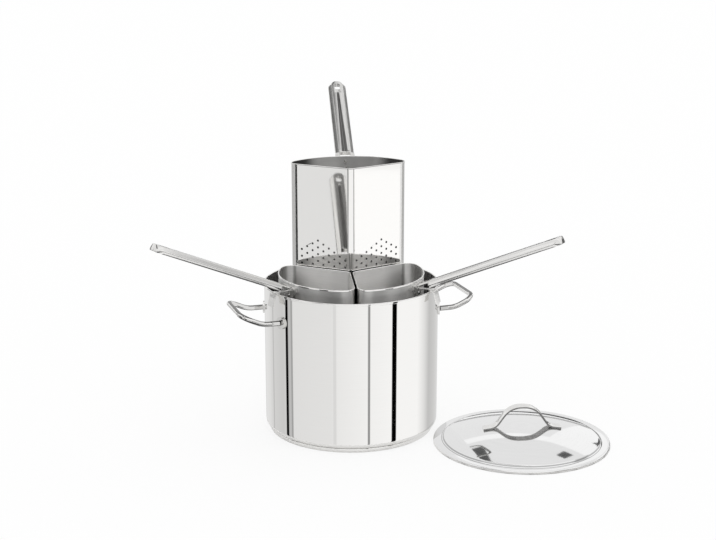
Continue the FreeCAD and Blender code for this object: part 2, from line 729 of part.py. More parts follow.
def make_grip(side, place):
    """Stamped channel, open below, with a tapered groove on top, a forked root and a hanging hole."""
    body = new_body(side + "_grip_body")
    half_width = "dims.grip_width / 2"
    lower = "-dims.grip_thickness / 2"
    upper = "dims.grip_thickness / 2"
    start = "-dims.grip_thickness"
    tip = "dims.grip_length"
    plan = new_sketch(body, "plan", "XY_Plane", height=lower)
    draw(plan, [
        Corner(start, f"-{half_width}"),
        Corner(tip, f"-{half_width}", round="dims.grip_corner"),
        Corner(tip, half_width, round="dims.grip_corner"),
        Corner(start, half_width),
    ])
    blank = pad(body, plan, "dims.grip_thickness")
    doc.recompute()

    top_edges = []
    for number, edge in enumerate(blank.Shape.Edges, start=1):
        box = edge.BoundBox
        if box.ZMin > 0 and box.XMax > value(start) + value("dims.grip_edge_round"):
            top_edges.append(f"Edge{number}")
    rounded = body.newObject("PartDesign::Fillet", side + "_grip_edges")
    rounded.Base = (blank, top_edges)
    rounded.setExpression("Radius", "dims.grip_edge_round")
    doc.recompute()

    inset = "(dims.grip_width / 2 - dims.grip_channel_wall)"
    channel = new_sketch(body, "channel", "XY_Plane", height=lower)
    end = "dims.grip_length - dims.grip_channel_wall"
    channel_corner = "dims.grip_corner - dims.grip_channel_wall"
    draw(channel, [
        Corner("dims.grip_fork_length + dims.grip_channel_wall", f"-{inset}"),
        Corner(end, f"-{inset}", round=channel_corner),
        Corner(end, inset, round=channel_corner),
        Corner("dims.grip_fork_length + dims.grip_channel_wall", inset),
    ])
    pocket(body, channel, "dims.grip_channel_depth", reverse=True)

    hole_end = "(dims.grip_length - dims.grip_hole_setback)"
    hole_start = f"({hole_end} - dims.grip_hole_length)"
    groove = new_sketch(body, "groove", "XY_Plane", height=upper)
    groove_start = "dims.grip_fork_length + 2 * dims.grip_channel_wall"
    groove_end = f"{hole_start} - dims.grip_hole_setback"
    draw(groove, [
        Corner(groove_start, "-dims.grip_groove_root / 2"),
        Corner(groove_end, "-dims.grip_groove_tip / 2"),
        Corner(groove_end, "dims.grip_groove_tip / 2"),
        Corner(groove_start, "dims.grip_groove_root / 2"),
    ])
    pocket(body, groove, "dims.grip_groove_depth")

    fork = new_sketch(body, "fork", "XY_Plane")
    draw(fork, [
        Corner(f"2 * ({start})", "-dims.grip_fork_width / 2"),
        Corner("dims.grip_fork_length", "-dims.grip_fork_width / 2"),
        Corner("dims.grip_fork_length", "dims.grip_fork_width / 2"),
        Corner(f"2 * ({start})", "dims.grip_fork_width / 2"),
    ])
    pocket(body, fork, side="Symmetric")

    hole = new_sketch(body, "hanging_hole", "XY_Plane")
    hole_half = "dims.grip_hole_width / 2"
    hole_round = f"{hole_half} - dims.weld_gap"
    draw(hole, [
        Corner(hole_start, f"-{hole_half}", round=hole_round),
        Corner(hole_end, f"-{hole_half}", round=hole_round),
        Corner(hole_end, hole_half, round=hole_round),
        Corner(hole_start, hole_half, round=hole_round),
    ])
    pocket(body, hole, side="Symmetric")

    body.Placement = FreeCAD.Placement(
        FreeCAD.Vector(value(BASKET_RADIUS), 0, value(f"{BASKET_HEIGHT} - dims.grip_root_drop")),
        FreeCAD.Rotation(SIDEWAYS, -value("dims.grip_slope")),
    )
    trim_radius = f"{BRACKET_FACE} + dims.weld_gap"
    tool = cylinder(side + "_grip_trim", trim_radius, f"{BASKET_HEIGHT} + dims.rim_stand")
    finish(cut(side + "_grip_cut", body, tool), side + "_basket_handle", place)


def make_hook(side, place):
    """Bent strip between the fork's legs, which sits on the pot's rim and drops outside it."""
    body = new_body(side + "_hook_body")
    profile = new_sketch(body, "profile", "XZ_Plane")
    slope = "tan(dims.hook_slant)"
    thick = "dims.hook_sheet / cos(dims.hook_slant)"
    end = f"({HOOK_BEND} + dims.hook_drop * {slope})"
    start = f"({BRACKET_FACE} + dims.weld_gap)"
    draw(profile, [
        Corner(start, HOOK_SEAT),
        Corner(HOOK_BEND, HOOK_SEAT, round="dims.hook_round"),
        Corner(end, f"{HOOK_SEAT} - dims.hook_drop"),
        Corner(f"{end} + {thick}", f"{HOOK_SEAT} - dims.hook_drop"),
        Corner(
            f"{HOOK_BEND} + {thick} - dims.hook_sheet * {slope}",
            f"{HOOK_SEAT} + dims.hook_sheet",
            round="dims.hook_round + dims.hook_sheet",
        ),
        Corner(start, f"{HOOK_SEAT} + dims.hook_sheet"),
    ])
    pad(body, profile, "dims.hook_width", side="Symmetric")
    finish(body, side + "_basket_rim_hook", place)


def make_rivets(side, place):
    """Two rivets through the bracket and the arc wall, one above the hook and one below it."""
    inner_face = f"({BASKET_RADIUS} - dims.basket_sheet - dims.weld_gap)"
    outer_face = f"({BRACKET_FACE} + dims.weld_gap)"
    bodies = []
    for name, drop in (("upper", "dims.rivet_upper_drop"), ("lower", "dims.rivet_lower_drop")):
        body = new_body(f"{side}_{name}_rivet")
        profile = new_sketch(body, "profile", "XZ_Plane")
        draw(profile, [
            Corner(f"{inner_face} - dims.basket_sheet", "0"),
            Corner(f"{outer_face} + dims.rivet_head_height", "0"),
            Corner(f"{outer_face} + dims.rivet_head_height", "dims.rivet_radius"),
            Corner(outer_face, "dims.rivet_head"),
            Corner(outer_face, "dims.rivet_radius"),
            Corner(inner_face, "dims.rivet_radius"),
            Corner(inner_face, "dims.rivet_head"),
            Corner(f"{inner_face} - dims.basket_sheet", "dims.rivet_head"),
        ])
        turned_rivet = body.newObject("PartDesign::Revolution", f"{side}_{name}_rivet_turned")
        turned_rivet.Profile = profile
        turned_rivet.ReferenceAxis = (profile, ["H_Axis"])
        turned_rivet.Angle = 360.0
        body.setExpression("Placement.Base.z", f"{BASKET_HEIGHT} - {drop}")
        bodies.append(body)
    pair = doc.addObject("Part::Compound", side + "_rivet_pair")
    pair.Links = bodies
    finish(pair, side + "_basket_rivets", place)


def make_basket(side, azimuth, lift):
    """All pieces of one basket, which hangs in the pot by its rim hook and is lifted out of it by lift."""
    place = moved(z=value(BASKET_SEAT) + lift) * turned(azimuth + value("dims.basket_turn"))
    make_arc_wall(side, place)
    make_panel(side, "left", 1, place)
    make_panel(side, "right", -1, place)
    make_floor(side, place)
    make_bracket(side, place)
    make_grip(side, place)
    make_hook(side, place)
    make_rivets(side, place)


make_pot_shell()
make_base_core()
make_base_cap()
make_side_handle("right", value("dims.side_azimuth"))
make_side_handle("left", value("dims.side_azimuth") + 180.0)
make_lid_shell()
make_lid_handle()
make_basket("left", LEFT_AZIMUTH, 0.0)
make_basket("right", RIGHT_AZIMUTH, 0.0)
make_basket("rear", REAR_AZIMUTH, value("dims.rear_lift"))
doc.recompute()

for item in doc.Objects:
    if "Invalid" in item.State or "Error" in item.State:
        raise ValueError(item.Label + " failed to recompute")
for item in subparts:
    if item.Shape.isNull() or not item.Shape.isValid() or not item.Shape.Solids:
        raise ValueError(item.Label + " has no valid solid")

os.makedirs("parts", exist_ok=True)
for item in subparts:
    item.Shape.exportStep(os.path.join("parts", item.Label + ".step"))
    print(item.Label, len(item.Shape.Solids), round(item.Shape.Volume))
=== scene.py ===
import math

import bmesh
import bpy
from mathutils import Matrix, Vector


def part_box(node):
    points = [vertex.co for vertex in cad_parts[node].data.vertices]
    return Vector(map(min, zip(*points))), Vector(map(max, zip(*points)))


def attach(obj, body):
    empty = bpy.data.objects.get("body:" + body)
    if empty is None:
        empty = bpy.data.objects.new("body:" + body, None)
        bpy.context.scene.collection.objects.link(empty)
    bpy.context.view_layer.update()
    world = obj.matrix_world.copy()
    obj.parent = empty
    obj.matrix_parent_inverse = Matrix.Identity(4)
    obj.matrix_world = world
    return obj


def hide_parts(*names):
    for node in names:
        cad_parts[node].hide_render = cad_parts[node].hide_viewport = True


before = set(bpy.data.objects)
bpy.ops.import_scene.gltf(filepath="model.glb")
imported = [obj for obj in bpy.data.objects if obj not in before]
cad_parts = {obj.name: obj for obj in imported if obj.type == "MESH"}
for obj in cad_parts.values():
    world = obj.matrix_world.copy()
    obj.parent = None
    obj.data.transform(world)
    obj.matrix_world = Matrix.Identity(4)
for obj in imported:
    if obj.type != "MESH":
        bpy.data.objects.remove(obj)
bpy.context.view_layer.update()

# Pasta pot with three strainer baskets and a lid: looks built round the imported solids. Metres, +Z up.

MM = 0.001
TURN = 2.0 * math.pi

# Pot
POT_LOW, POT_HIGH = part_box("pot_shell")
BEAD_RADIUS = POT_HIGH.x
POT_HEIGHT = POT_HIGH.z
POT_SHEET = 1.0 * MM
BEAD_OUT = 1.0 * MM
BEAD_ROUND = 0.9 * BEAD_OUT
BEAD_DEPTH = 3.5 * MM
POT_RADIUS = BEAD_RADIUS - BEAD_OUT
POT_INNER = POT_RADIUS - POT_SHEET
POT_CORNER = 9.0 * MM
BASE_HEIGHT = POT_LOW.z
CAP_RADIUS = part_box("base_cap")[1].x
CAP_ROUND = 2.2 * MM
CAP_EDGE = 0.4 * MM

# Side handles of the pot
ROD_RADIUS = 3.5 * MM
FOOT_SPACING = 85.0 * MM
FOOT_LEVEL = POT_HEIGHT - 39.0 * MM
ROD_REACH = 56.0 * MM
ROD_BEND = 16.0 * MM
ROD_RISE = math.radians(13.0)
ROD_LEVEL_RUN = 26.0 * MM
ROD_LIFT_BEND = 40.0 * MM
RIGHT_ROD_AZIMUTH = math.radians(18.5)
FLANGE_FACE = POT_RADIUS + 2.8 * MM
# Normal heights beyond which the rods get a painted dark reflection line
ROD_PAINTED_LINE_ABOVE = 0.78
ROD_PAINTED_LINE_BELOW = -0.5

# Lid
LID_LOW, LID_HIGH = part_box("lid_shell")
LID_CENTRE = (LID_LOW + LID_HIGH) / 2
LID_RADIUS = (LID_HIGH.x - LID_LOW.x) / 2
LID_TURN = math.radians(4.0)
LID_SHEET = 1.0 * MM
LID_FLANGE = 4.0 * MM
LID_EDGE = 2.0 * MM
DOME_RADIUS = 107.0 * MM
STEP_WIDTH = 2.5 * MM
STEP_HEIGHT = 2.5 * MM
STEP_BEND = 0.6
STEP_DROP = 0.55
STEP_FOOT = 0.15
STEP_RUN_OUT = 1.0 * MM
DOME_RISE = 17.0 * MM
DOME_STEPS = 40
RIM_STRETCHES = 5
RIDGE_HEIGHT = LID_FLANGE + STEP_HEIGHT
LID_TOP = RIDGE_HEIGHT + DOME_RISE
STRAP_WIDTH = 15.0 * MM
STRAP_SHEET = 2.5 * MM
STRAP_END = 54.0 * MM
STRAP_KNEE = 37.0 * MM
STRAP_TOP = 17.0 * MM
STRAP_RISE = 28.0 * MM
STRAP_KNEE_ROUND = 16.0 * MM
STRAP_TOP_ROUND = 28.0 * MM
STRAP_EDGE_ROUND = 0.9 * MM
STRAP_GAP = 0.05 * MM
STRAP_SIDE_LIMIT = 0.6
STRAP_UNDER_LIMIT = -0.2

# Baskets
BASKET_AZIMUTHS = {
    "left": math.radians(214.5),
    "right": math.radians(334.5),
    "rear": math.radians(94.5),
}
SECTOR_HALF = math.radians(60.0)
SECTOR_SIDE = 2.0 * MM
BASKET_RADIUS = 101.0 * MM
BASKET_SHEET = 0.8 * MM
INNER_LIMIT = 0.9 * BASKET_SHEET
BASKET_CORNER = 15.0 * MM
BASKET_FOLD = 10.0 * MM
BASKET_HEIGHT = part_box("left_basket_arc_wall")[1].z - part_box("left_basket_arc_wall")[0].z
HEM_HEIGHT = 2.0 * MM
HEM_SHEET = 0.7 * MM
HEM_TURN = 0.2 * MM
STRAIGHT_RUN = 1.0 * MM
FLOOR_LEVEL = 2.0 * MM
FLOOR_SHEET = 1.0 * MM
FLOOR_GAP = 0.05 * MM
HOLE_RADIUS = 1.6 * MM
HOLE_SIDES = 18
HOLE_COLUMN = 8.5 * MM
HOLE_ROW = 9.8 * MM
HOLE_FIRST = 20.0 * MM
HOLE_PEAK = 99.5 * MM
HOLE_PEAK_PLACE = 53.0 * MM
HOLE_SLOPE = math.radians(30.0)
HOLE_MARGIN = 6.0 * MM
HOLE_FOLD_MARGIN = 3.1 * MM
HOLE_LIMIT = 108.0 * MM
FLOOR_PITCH = 10.0 * MM
FLOOR_MARGIN = 7.0 * MM

# Basket handles
GRIP_LENGTH = 220.6 * MM
GRIP_HALF = 13.5 * MM
GRIP_THICK = 9.4 * MM
GRIP_TOP = 3.3 * MM
GRIP_SLOPE = math.radians(23.4)
GRIP_DROP = 9.5 * MM
GRIP_CORNER = 10.0 * MM
GRIP_SHOULDER = 8.2 * MM
GRIP_SHOULDER_SHARE = 0.6
GRIP_FALL = 5.0 * MM
GRIP_EDGE_ROUND = 2.5 * MM
GRIP_TOP_ROUND = 1.0 * MM
GRIP_LIP = 0.9 * MM
GRIP_SHEET = 1.5 * MM
GRIP_START = 2.0 * MM
LEG_MIDDLE = 10.0 * MM
GRIP_STEP = 7.5 * MM
GRIP_SPLIT = 0.05 * MM
GROOVE_DEPTH = 3.8 * MM
GROOVE_ROOT = 4.4 * MM
GROOVE_TIP = 1.3 * MM
GROOVE_LEDGE = 0.8 * MM
GROOVE_WALL = 0.55
GROOVE_FLOOR = 0.12
GROOVE_SETBACK = 2.0 * MM
GROOVE_RUN_IN = 3.0 * MM
GROOVE_RUN_OUT = 4.0 * MM
SUNK_DEPTH = 0.2 * MM
SUNK_LIMIT = 0.1
LIP_LIMIT = 0.5
HOLLOW_LEDGE = 1.0 * MM
HOLLOW_ROOF = 0.55
HOLLOW_HALF_MIN = 0.2 * MM
HOLLOW_CLOSED = 0.01 * MM
FORK_LENGTH = 22.0 * MM
FORK_HALF = 7.7 * MM
FORK_SHEET = 2.5 * MM
HANG_LENGTH = 17.0 * MM
HANG_HALF = 4.5 * MM
HANG_SETBACK = 7.0 * MM
GROOVE_END = GRIP_LENGTH - HANG_SETBACK - HANG_LENGTH - HANG_SETBACK

# Rim hooks
HOOK_START = 102.6 * MM
HOOK_BEND = POT_RADIUS + 5.5 * MM
HOOK_SHEET = 1.5 * MM
HOOK_DROP = 18.0 * MM
HOOK_SLANT = math.radians(15.0)
HOOK_ROUND = 2.75 * MM
HOOK_HALF = 7.0 * MM
HOOK_NECK = 2.5 * MM
HOOK_NECK_END = 8.0 * MM

# Softened edges of the solids that show as they are
BRACKET_BEVEL = 0.3 * MM
RIVET_BEVEL = 0.2 * MM
FLANGE_BEVEL = 0.4 * MM
BEVEL_ANGLE = math.radians(40.0)


# Materials. Noise scales are per metre along each axis, and stops are places on a colour ramp.

ROLLED_SCALE = (30.0, 30.0, 2600.0)
LENGTH_SCALE = (12.0, 480.0, 1.0)
BAND_SCALE = (26.0, 26.0, 1.5)
CLOUD_SCALE = 35.0
LINE_DETAIL = 4.0
BAND_DETAIL = 1.0
CLOUD_DETAIL = 3.0
LINE_STOPS = (0.3, 0.7)
BAND_STOPS = (0.38, 0.62)
BRUSH_TURN = 0.25
# Colour factor at the deepest painted shade
DARKEST_PAINTED_SHADE = 0.10
RELIEF_DEPTH = 0.02 * MM


def tinted(shade, warm):
    """Grey of a shade, with a little less green and blue."""
    return (shade, shade * (1.0 - warm / 3), shade * (1.0 - warm), 1.0)


def steel(
    name, shade, roughness, streak, bump, spread=0.03,
    lengthwise=False, brushed=0.0, bands=0.0, warm=0.025,
):
    """Stainless steel with fine streaks along the sheet's rolling direction and uneven polish.

    With bands it also has broad upright bands, and painted shade where the mesh's bend values say so.
    """
    material = bpy.data.materials.new(name)
    material.use_nodes = True
    nodes = material.node_tree.nodes
    links = material.node_tree.links
    shader = nodes["Principled BSDF"]
    shader.inputs["Metallic"].default_value = 1.0

    def stretched(place, scale):
        mapping = nodes.new("ShaderNodeMapping")
        mapping.inputs["Scale"].default_value = scale
        links.new(place, mapping.inputs["Vector"])
        return mapping.outputs["Vector"]

    def noise(place, scale, detail):
        texture = nodes.new("ShaderNodeTexNoise")
        texture.inputs["Scale"].default_value = scale
        texture.inputs["Detail"].default_value = detail
        links.new(place, texture.inputs["Vector"])
        return texture.outputs["Fac"]

    def ramp(value, stops, colours):
        colour = nodes.new("ShaderNodeValToRGB")
        for element, stop, tone in zip(colour.color_ramp.elements, stops, colours):
            element.position = stop
            element.color = tone
        links.new(value, colour.inputs["Fac"])
        return colour.outputs["Color"]

    def ranged(value, low, high):
        span = nodes.new("ShaderNodeMapRange")
        span.inputs["To Min"].default_value = low
        span.inputs["To Max"].default_value = high
        links.new(value, span.inputs["Value"])
        return span.outputs["Result"]

    def multiplied(first, second):
        product = nodes.new("ShaderNodeMix")
        product.data_type = "RGBA"
        product.blend_type = "MULTIPLY"
        product.inputs["Factor"].default_value = 1.0
        links.new(first, product.inputs["A"])
        links.new(second, product.inputs["B"])
        return product.outputs["Result"]

    if brushed:
        shader.inputs["Anisotropic"].default_value = brushed
        shader.inputs["Anisotropic Rotation"].default_value = BRUSH_TURN
        around = nodes.new("ShaderNodeTangent")
        around.direction_type = "RADIAL"
        around.axis = "Z"
        links.new(around.outputs["Tangent"], shader.inputs["Tangent"])
    place = nodes.new("ShaderNodeTexCoord").outputs
    if lengthwise:
        streaks = stretched(place["UV"], LENGTH_SCALE)
    else:
        streaks = stretched(place["Object"], ROLLED_SCALE)
    lines = noise(streaks, 1.0, LINE_DETAIL)
    colour = ramp(lines, LINE_STOPS, (tinted(shade * (1.0 - streak), warm), tinted(shade, warm)))
    if bands:
        wide = noise(stretched(place["Object"], BAND_SCALE), 1.0, BAND_DETAIL)
        dark = 1.0 - bands
        shading = ramp(wide, BAND_STOPS, ((dark, dark, dark, 1.0), (1.0, 1.0, 1.0, 1.0)))
        # Painted shade: the bend values darken the colour.
        bend = nodes.new("ShaderNodeAttribute")
        bend.attribute_name = "bend"
        colour = multiplied(multiplied(colour, shading), ranged(bend.outputs["Fac"], 1.0, DARKEST_PAINTED_SHADE))
    links.new(colour, shader.inputs["Base Color"])
    cloud = noise(place["Object"], CLOUD_SCALE, CLOUD_DETAIL)
    links.new(ranged(cloud, roughness - spread, roughness + spread), shader.inputs["Roughness"])
    relief = nodes.new("ShaderNodeBump")
    relief.inputs["Strength"].default_value = bump
    relief.inputs["Distance"].default_value = RELIEF_DEPTH
    links.new(lines, relief.inputs["Height"])
    links.new(relief.outputs["Normal"], shader.inputs["Normal"])
    return material


# Each with its shade, roughness, depth of streaks, strength of relief and spread of roughness
POLISHED = steel("polished_steel", 0.92, 0.045, 0.02, 0.01, 0.02)
LID_STEEL = steel("lid_steel", 0.90, 0.06, 0.03, 0.01, 0.02, warm=0.0)
HANDLE_STEEL = steel("handle_steel", 0.86, 0.12, 0.06, 0.03)
GRIP_STEEL = steel("grip_steel", 0.88, 0.16, 0.24, 0.12, 0.04, lengthwise=True)
# Painted shade: darker steel in the grip's groove and along its lower lips
GRIP_PAINTED_SHADE = steel("grip_painted_shade_steel", 0.34, 0.34, 0.30, 0.12, 0.04, lengthwise=True)
# Painted reflection and shade: darker steel for the strap's sides and underside
STRAP_PAINTED_SHADE = steel("strap_painted_shade_steel", 0.42, 0.30, 0.25, 0.10)
BRUSHED = steel("brushed_steel", 0.99, 0.52, 0.12, 0.25, 0.05, brushed=0.8, bands=0.20)
# Painted shade: dark lines at the lid's step
LID_PAINTED_RING = steel("lid_painted_ring_steel", 0.50, 0.12, 0.06, 0.01, warm=0.0)
INNER_STEEL = steel("inner_steel", 1.0, 0.44, 0.07, 0.25, 0.05, brushed=0.8, bands=0.06)
# Painted reflection: dark lines on the rods' upper and lower sides
ROD_PAINTED_REFLECTION = steel("rod_painted_reflection_steel", 0.22, 0.30, 0.20, 0.05)
HOOK_STEEL = steel("hook_steel", 0.92, 0.45, 0.06, 0.05)
SATIN = steel("satin_steel", 0.86, 0.16, 0.06, 0.05)
# Brushed, and darker as painted shade inside the pot
POT_INSIDE_PAINTED_SHADE = steel("pot_inside_painted_shade_steel", 0.52, 0.32, 0.12, 0.2, 0.05, brushed=0.6)


# Mesh helpers

MERGE_DISTANCE = 0.005 * MM


def add_piece(name, mesh, body, nodes, materials, sharp):
    """Put a finished mesh in the scene, riding on its body in place of the solids it stands for."""
    piece = bpy.data.objects.new(name, mesh)
    bpy.context.scene.collection.objects.link(piece)
    for material in materials:
        mesh.materials.append(material)
    mesh.shade_smooth()
    mesh.set_sharp_from_angle(angle=math.radians(sharp))
    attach(piece, body)
    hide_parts(*nodes)


def mesh_from(name, points, faces, tags=None):
    """Closed mesh from points and faces, with outward normals and a material number per face."""
    mesh = bpy.data.meshes.new(name)
    mesh.from_pydata([tuple(point) for point in points], [], faces)
    if tags is not None:
        mesh.polygons.foreach_set("material_index", tags)
    work = bmesh.new()
    work.from_mesh(mesh)
    bmesh.ops.recalc_face_normals(work, faces=work.faces)
    work.to_mesh(mesh)
    work.free()
    return mesh


def arc(x, y, radius, start, end, steps):
    """Points on an arc, with angles in degrees."""
    points = []
    for step in range(steps + 1):
        angle = math.radians(start + (end - start) * step / steps)
        points.append((x + radius * math.cos(angle), y + radius * math.sin(angle)))
    return points


def lathe(profile, tags=None, segments=224):
    """Points and faces of a closed outline of (radius, height) turned about the Z axis."""
    points = []
    rings = []
    for radius, height in profile:
        if radius < 1e-9:
            rings.append([len(points)] * segments)
            points.append(Vector((0.0, 0.0, height)))
            continue
        first = len(points)
        rings.append(list(range(first, first + segments)))
        for index in range(segments):
            angle = TURN * index / segments
            points.append(Vector((radius * math.cos(angle), radius * math.sin(angle), height)))
    faces = []
    numbers = []
    for index, ring in enumerate(rings):
        following = rings[(index + 1) % len(rings)]
        if ring[0] == ring[1] and following[0] == following[1]:
            continue
        for step in range(segments):
            beside = (step + 1) % segments
            corners = [ring[step], ring[beside], following[beside], following[step]]
            faces.append(list(dict.fromkeys(corners)))
            numbers.append(tags[index] if tags else 0)
    return points, faces, numbers


def rounded_path(corners, radii, steps=12):
    """Points along straight runs whose inner corners are rounded."""
    points = [corners[0]]
    for before, corner, after, radius in zip(corners, corners[1:], corners[2:], radii):
        towards = (before - corner).normalized()
        onwards = (after - corner).normalized()
        half = towards.angle(onwards) / 2
        centre = corner + (towards + onwards).normalized() * (radius / math.sin(half))
        first = (corner + towards * (radius / math.tan(half)) - centre).normalized()
        last = (corner + onwards * (radius / math.tan(half)) - centre).normalized()
        for step in range(steps + 1):
            points.append(centre + first.slerp(last, step / steps) * radius)
    points.append(corners[-1])
    return points


def strip_faces(total, count):
    """Faces of a closed tube whose points lie in rows of count, with both ends capped."""
    faces = [list(range(count)), list(range(total - count, total))]
    for row in range(0, total - count, count):
        for step in range(count):
            beside = (step + 1) % count
            faces.append([row + step, row + beside, row + count + beside, row + count + step])
    return faces


def directions(path):
    """Unit vectors along a path, at each of its points."""
    before = path[:1] + path[:-1]
    after = path[1:] + path[-1:]
    return [(end - start).normalized() for start, end in zip(before, after)]


def sweep(path, across, section):
    """Points and faces of a closed section carried along a path in the plane square to across."""
    points = []
    for spot, along in zip(path, directions(path)):
        upward = along.cross(across)
        points += [spot + across * a + upward * b for a, b in section]
    return points, strip_faces(len(points), len(section))


def rounded_section(half_width, half_height, radius, steps=5):
    """Rounded rectangle, as the section of a strip."""
    section = []
    for x, y, start in ((1, 1, 0), (-1, 1, 90), (-1, -1, 180), (1, -1, 270)):
        centre = (x * (half_width - radius), y * (half_height - radius))
        section += arc(*centre, radius, start, start + 90, steps)
    return section


def perforated_sheet(name, outline, holes, hole_radius, thickness):
    """Flat sheet with round holes, lying in its own XY plane and centred on it."""
    curve = bpy.data.curves.new(name, "CURVE")
    curve.dimensions = "2D"
    curve.fill_mode = "BOTH"
    curve.extrude = thickness / 2
    turn = 360 - 360 / HOLE_SIDES
    rings = [outline] + [arc(x, y, hole_radius, 0, turn, HOLE_SIDES - 1) for x, y in holes]
    for ring in rings:
        spline = curve.splines.new("POLY")
        spline.points.add(len(ring) - 1)
        for point, (x, y) in zip(spline.points, ring):
            point.co = (x, y, 0.0, 1.0)
        spline.use_cyclic_u = True
    holder = bpy.data.objects.new(name, curve)
    bpy.context.scene.collection.objects.link(holder)
    bpy.context.view_layer.update()
    mesh = bpy.data.meshes.new_from_object(holder.evaluated_get(bpy.context.evaluated_depsgraph_get()))
    bpy.data.objects.remove(holder)
    bpy.data.curves.remove(curve)
    mesh.materials.clear()
    work = bmesh.new()
    work.from_mesh(mesh)
    bmesh.ops.remove_doubles(work, verts=work.verts, dist=MERGE_DISTANCE)
    bmesh.ops.dissolve_degenerate(work, edges=work.edges, dist=MERGE_DISTANCE)
    bmesh.ops.recalc_face_normals(work, faces=work.faces)
    work.to_mesh(mesh)
    work.free()
    mesh.name = name
    return mesh


def cut_out(piece, cutter):
    """Take the cutter's shape out of the piece, and remove the cutter."""
    change = piece.modifiers.new("cut", "BOOLEAN")
    change.operation = "DIFFERENCE"
    change.object = cutter
    change.solver = "EXACT"
    bpy.context.view_layer.update()
    cut = bpy.data.meshes.new_from_object(piece.evaluated_get(bpy.context.evaluated_depsgraph_get()))
    piece.modifiers.remove(change)
    piece.data = cut
    bpy.data.objects.remove(cutter)


def prism(name, outline, low, high):
    """Upright block with the given outline, as a cutter."""
    count = len(outline)
    points = [(x, y, low) for x, y in outline] + [(x, y, high) for x, y in outline]
    block = bpy.data.objects.new(name, mesh_from(name, points, strip_faces(2 * count, count)))
    bpy.context.scene.collection.objects.link(block)
    return block


# Pot


def make_pot():
    bead = BEAD_ROUND
    outer_corner = arc(POT_RADIUS - POT_CORNER, BASE_HEIGHT + POT_CORNER, POT_CORNER, -90, 0, 14)
    bead_low = arc(BEAD_RADIUS - bead, POT_HEIGHT - BEAD_DEPTH + bead, bead, -60, 0, 5)
    bead_top = arc(BEAD_RADIUS - bead, POT_HEIGHT - bead, bead, 0, 90, 6)
    lip = arc(POT_INNER + bead, POT_HEIGHT - bead, bead, 90, 180, 6)
    inner = POT_CORNER - POT_SHEET
    inner_corner = arc(POT_INNER - inner, BASE_HEIGHT + POT_CORNER, inner, 0, -90, 12)
    outside = [(0.0, BASE_HEIGHT)] + outer_corner + [(POT_RADIUS, POT_HEIGHT - BEAD_DEPTH)]
    outside += bead_low + bead_top + lip
    inside = inner_corner + [(0.0, BASE_HEIGHT + POT_SHEET)]
    # The inside faces get the darker steel, painted shade inside the pot
    tags = [0] * (len(outside) - 1) + [1] * (len(inside) + 1)
    mesh = mesh_from("pot_wall", *lathe(outside + inside, tags))
    add_piece("pot_wall", mesh, "pot", ["pot_shell"], [POLISHED, POT_INSIDE_PAINTED_SHADE], sharp=50)


def make_base():
    edge = arc(CAP_RADIUS - CAP_ROUND, CAP_ROUND, CAP_ROUND, -90, 0, 8)
    upper = arc(CAP_RADIUS - CAP_EDGE, BASE_HEIGHT - CAP_EDGE, CAP_EDGE, 0, 90, 4)
    profile = [(0.0, 0.0)] + edge + upper + [(0.0, BASE_HEIGHT)]
    mesh = mesh_from("base_disc", *lathe(profile))
    add_piece("base_disc", mesh, "pot", ["base_cap", "base_core"], [POLISHED], sharp=50)


def tube(path, radius, sides=24):
    """Points and faces of a round rod along a path that may bend in any direction."""
    ring = arc(0.0, 0.0, radius, 0, 360 - 360 / sides, sides - 1)
    points = []
    before = (path[1] - path[0]).normalized()
    across = before.orthogonal().normalized()
    for spot, along in zip(path, directions(path)):
        across = before.rotation_difference(along) @ across
        upward = along.cross(across)
        before = along
        points += [spot + across * x + upward * y for x, y in ring]
    return points, strip_faces(len(points), sides)


def make_side_handle(side, azimuth):
    """Bent rod whose legs leave the wall level and then rise, with painted dark reflections above and
    below.
    """
    half = FOOT_SPACING / 2
    wall_foot = math.sqrt(POT_RADIUS ** 2 - half ** 2)
    foot = math.sqrt(FLANGE_FACE ** 2 - half ** 2) - wall_foot
    reach = ROD_REACH * math.cos(ROD_RISE)
    rise = ROD_REACH * math.sin(ROD_RISE)
    leg = [(foot, 0.0), (ROD_LEVEL_RUN, 0.0), (reach, rise)]
    corners = [Vector((x, -half, z)) for x, z in leg] + [Vector((x, half, z)) for x, z in reversed(leg)]
    path = rounded_path(corners, [ROD_LIFT_BEND, ROD_BEND, ROD_BEND, ROD_LIFT_BEND], 18)
    points, faces = tube(path, ROD_RADIUS)
    place = Matrix.Rotation(azimuth, 4, "Z") @ Matrix.Translation((wall_foot, 0.0, FOOT_LEVEL))
    name = side + "_rod"
    mesh = mesh_from(name, [place @ point for point in points], faces)
    # Painted reflection: faces pointing well up or down get the dark steel
    tags = [0 if ROD_PAINTED_LINE_BELOW < face.normal.z < ROD_PAINTED_LINE_ABOVE else 1 for face in mesh.polygons]
    mesh.polygons.foreach_set("material_index", tags)
    materials = [HANDLE_STEEL, ROD_PAINTED_REFLECTION]
    add_piece(name, mesh, "pot", ["pot_handle_" + side], materials, sharp=60)


# Lid

LID_PLACE = Matrix.Translation((LID_CENTRE.x, LID_CENTRE.y, 0.0)) @ Matrix.Rotation(LID_TURN, 4, "Z")
DOME_ARC = (DOME_RADIUS ** 2 + DOME_RISE ** 2) / (2 * DOME_RISE)


def dome_height(radius):
    return LID_TOP - DOME_ARC + math.sqrt(DOME_ARC ** 2 - radius ** 2)


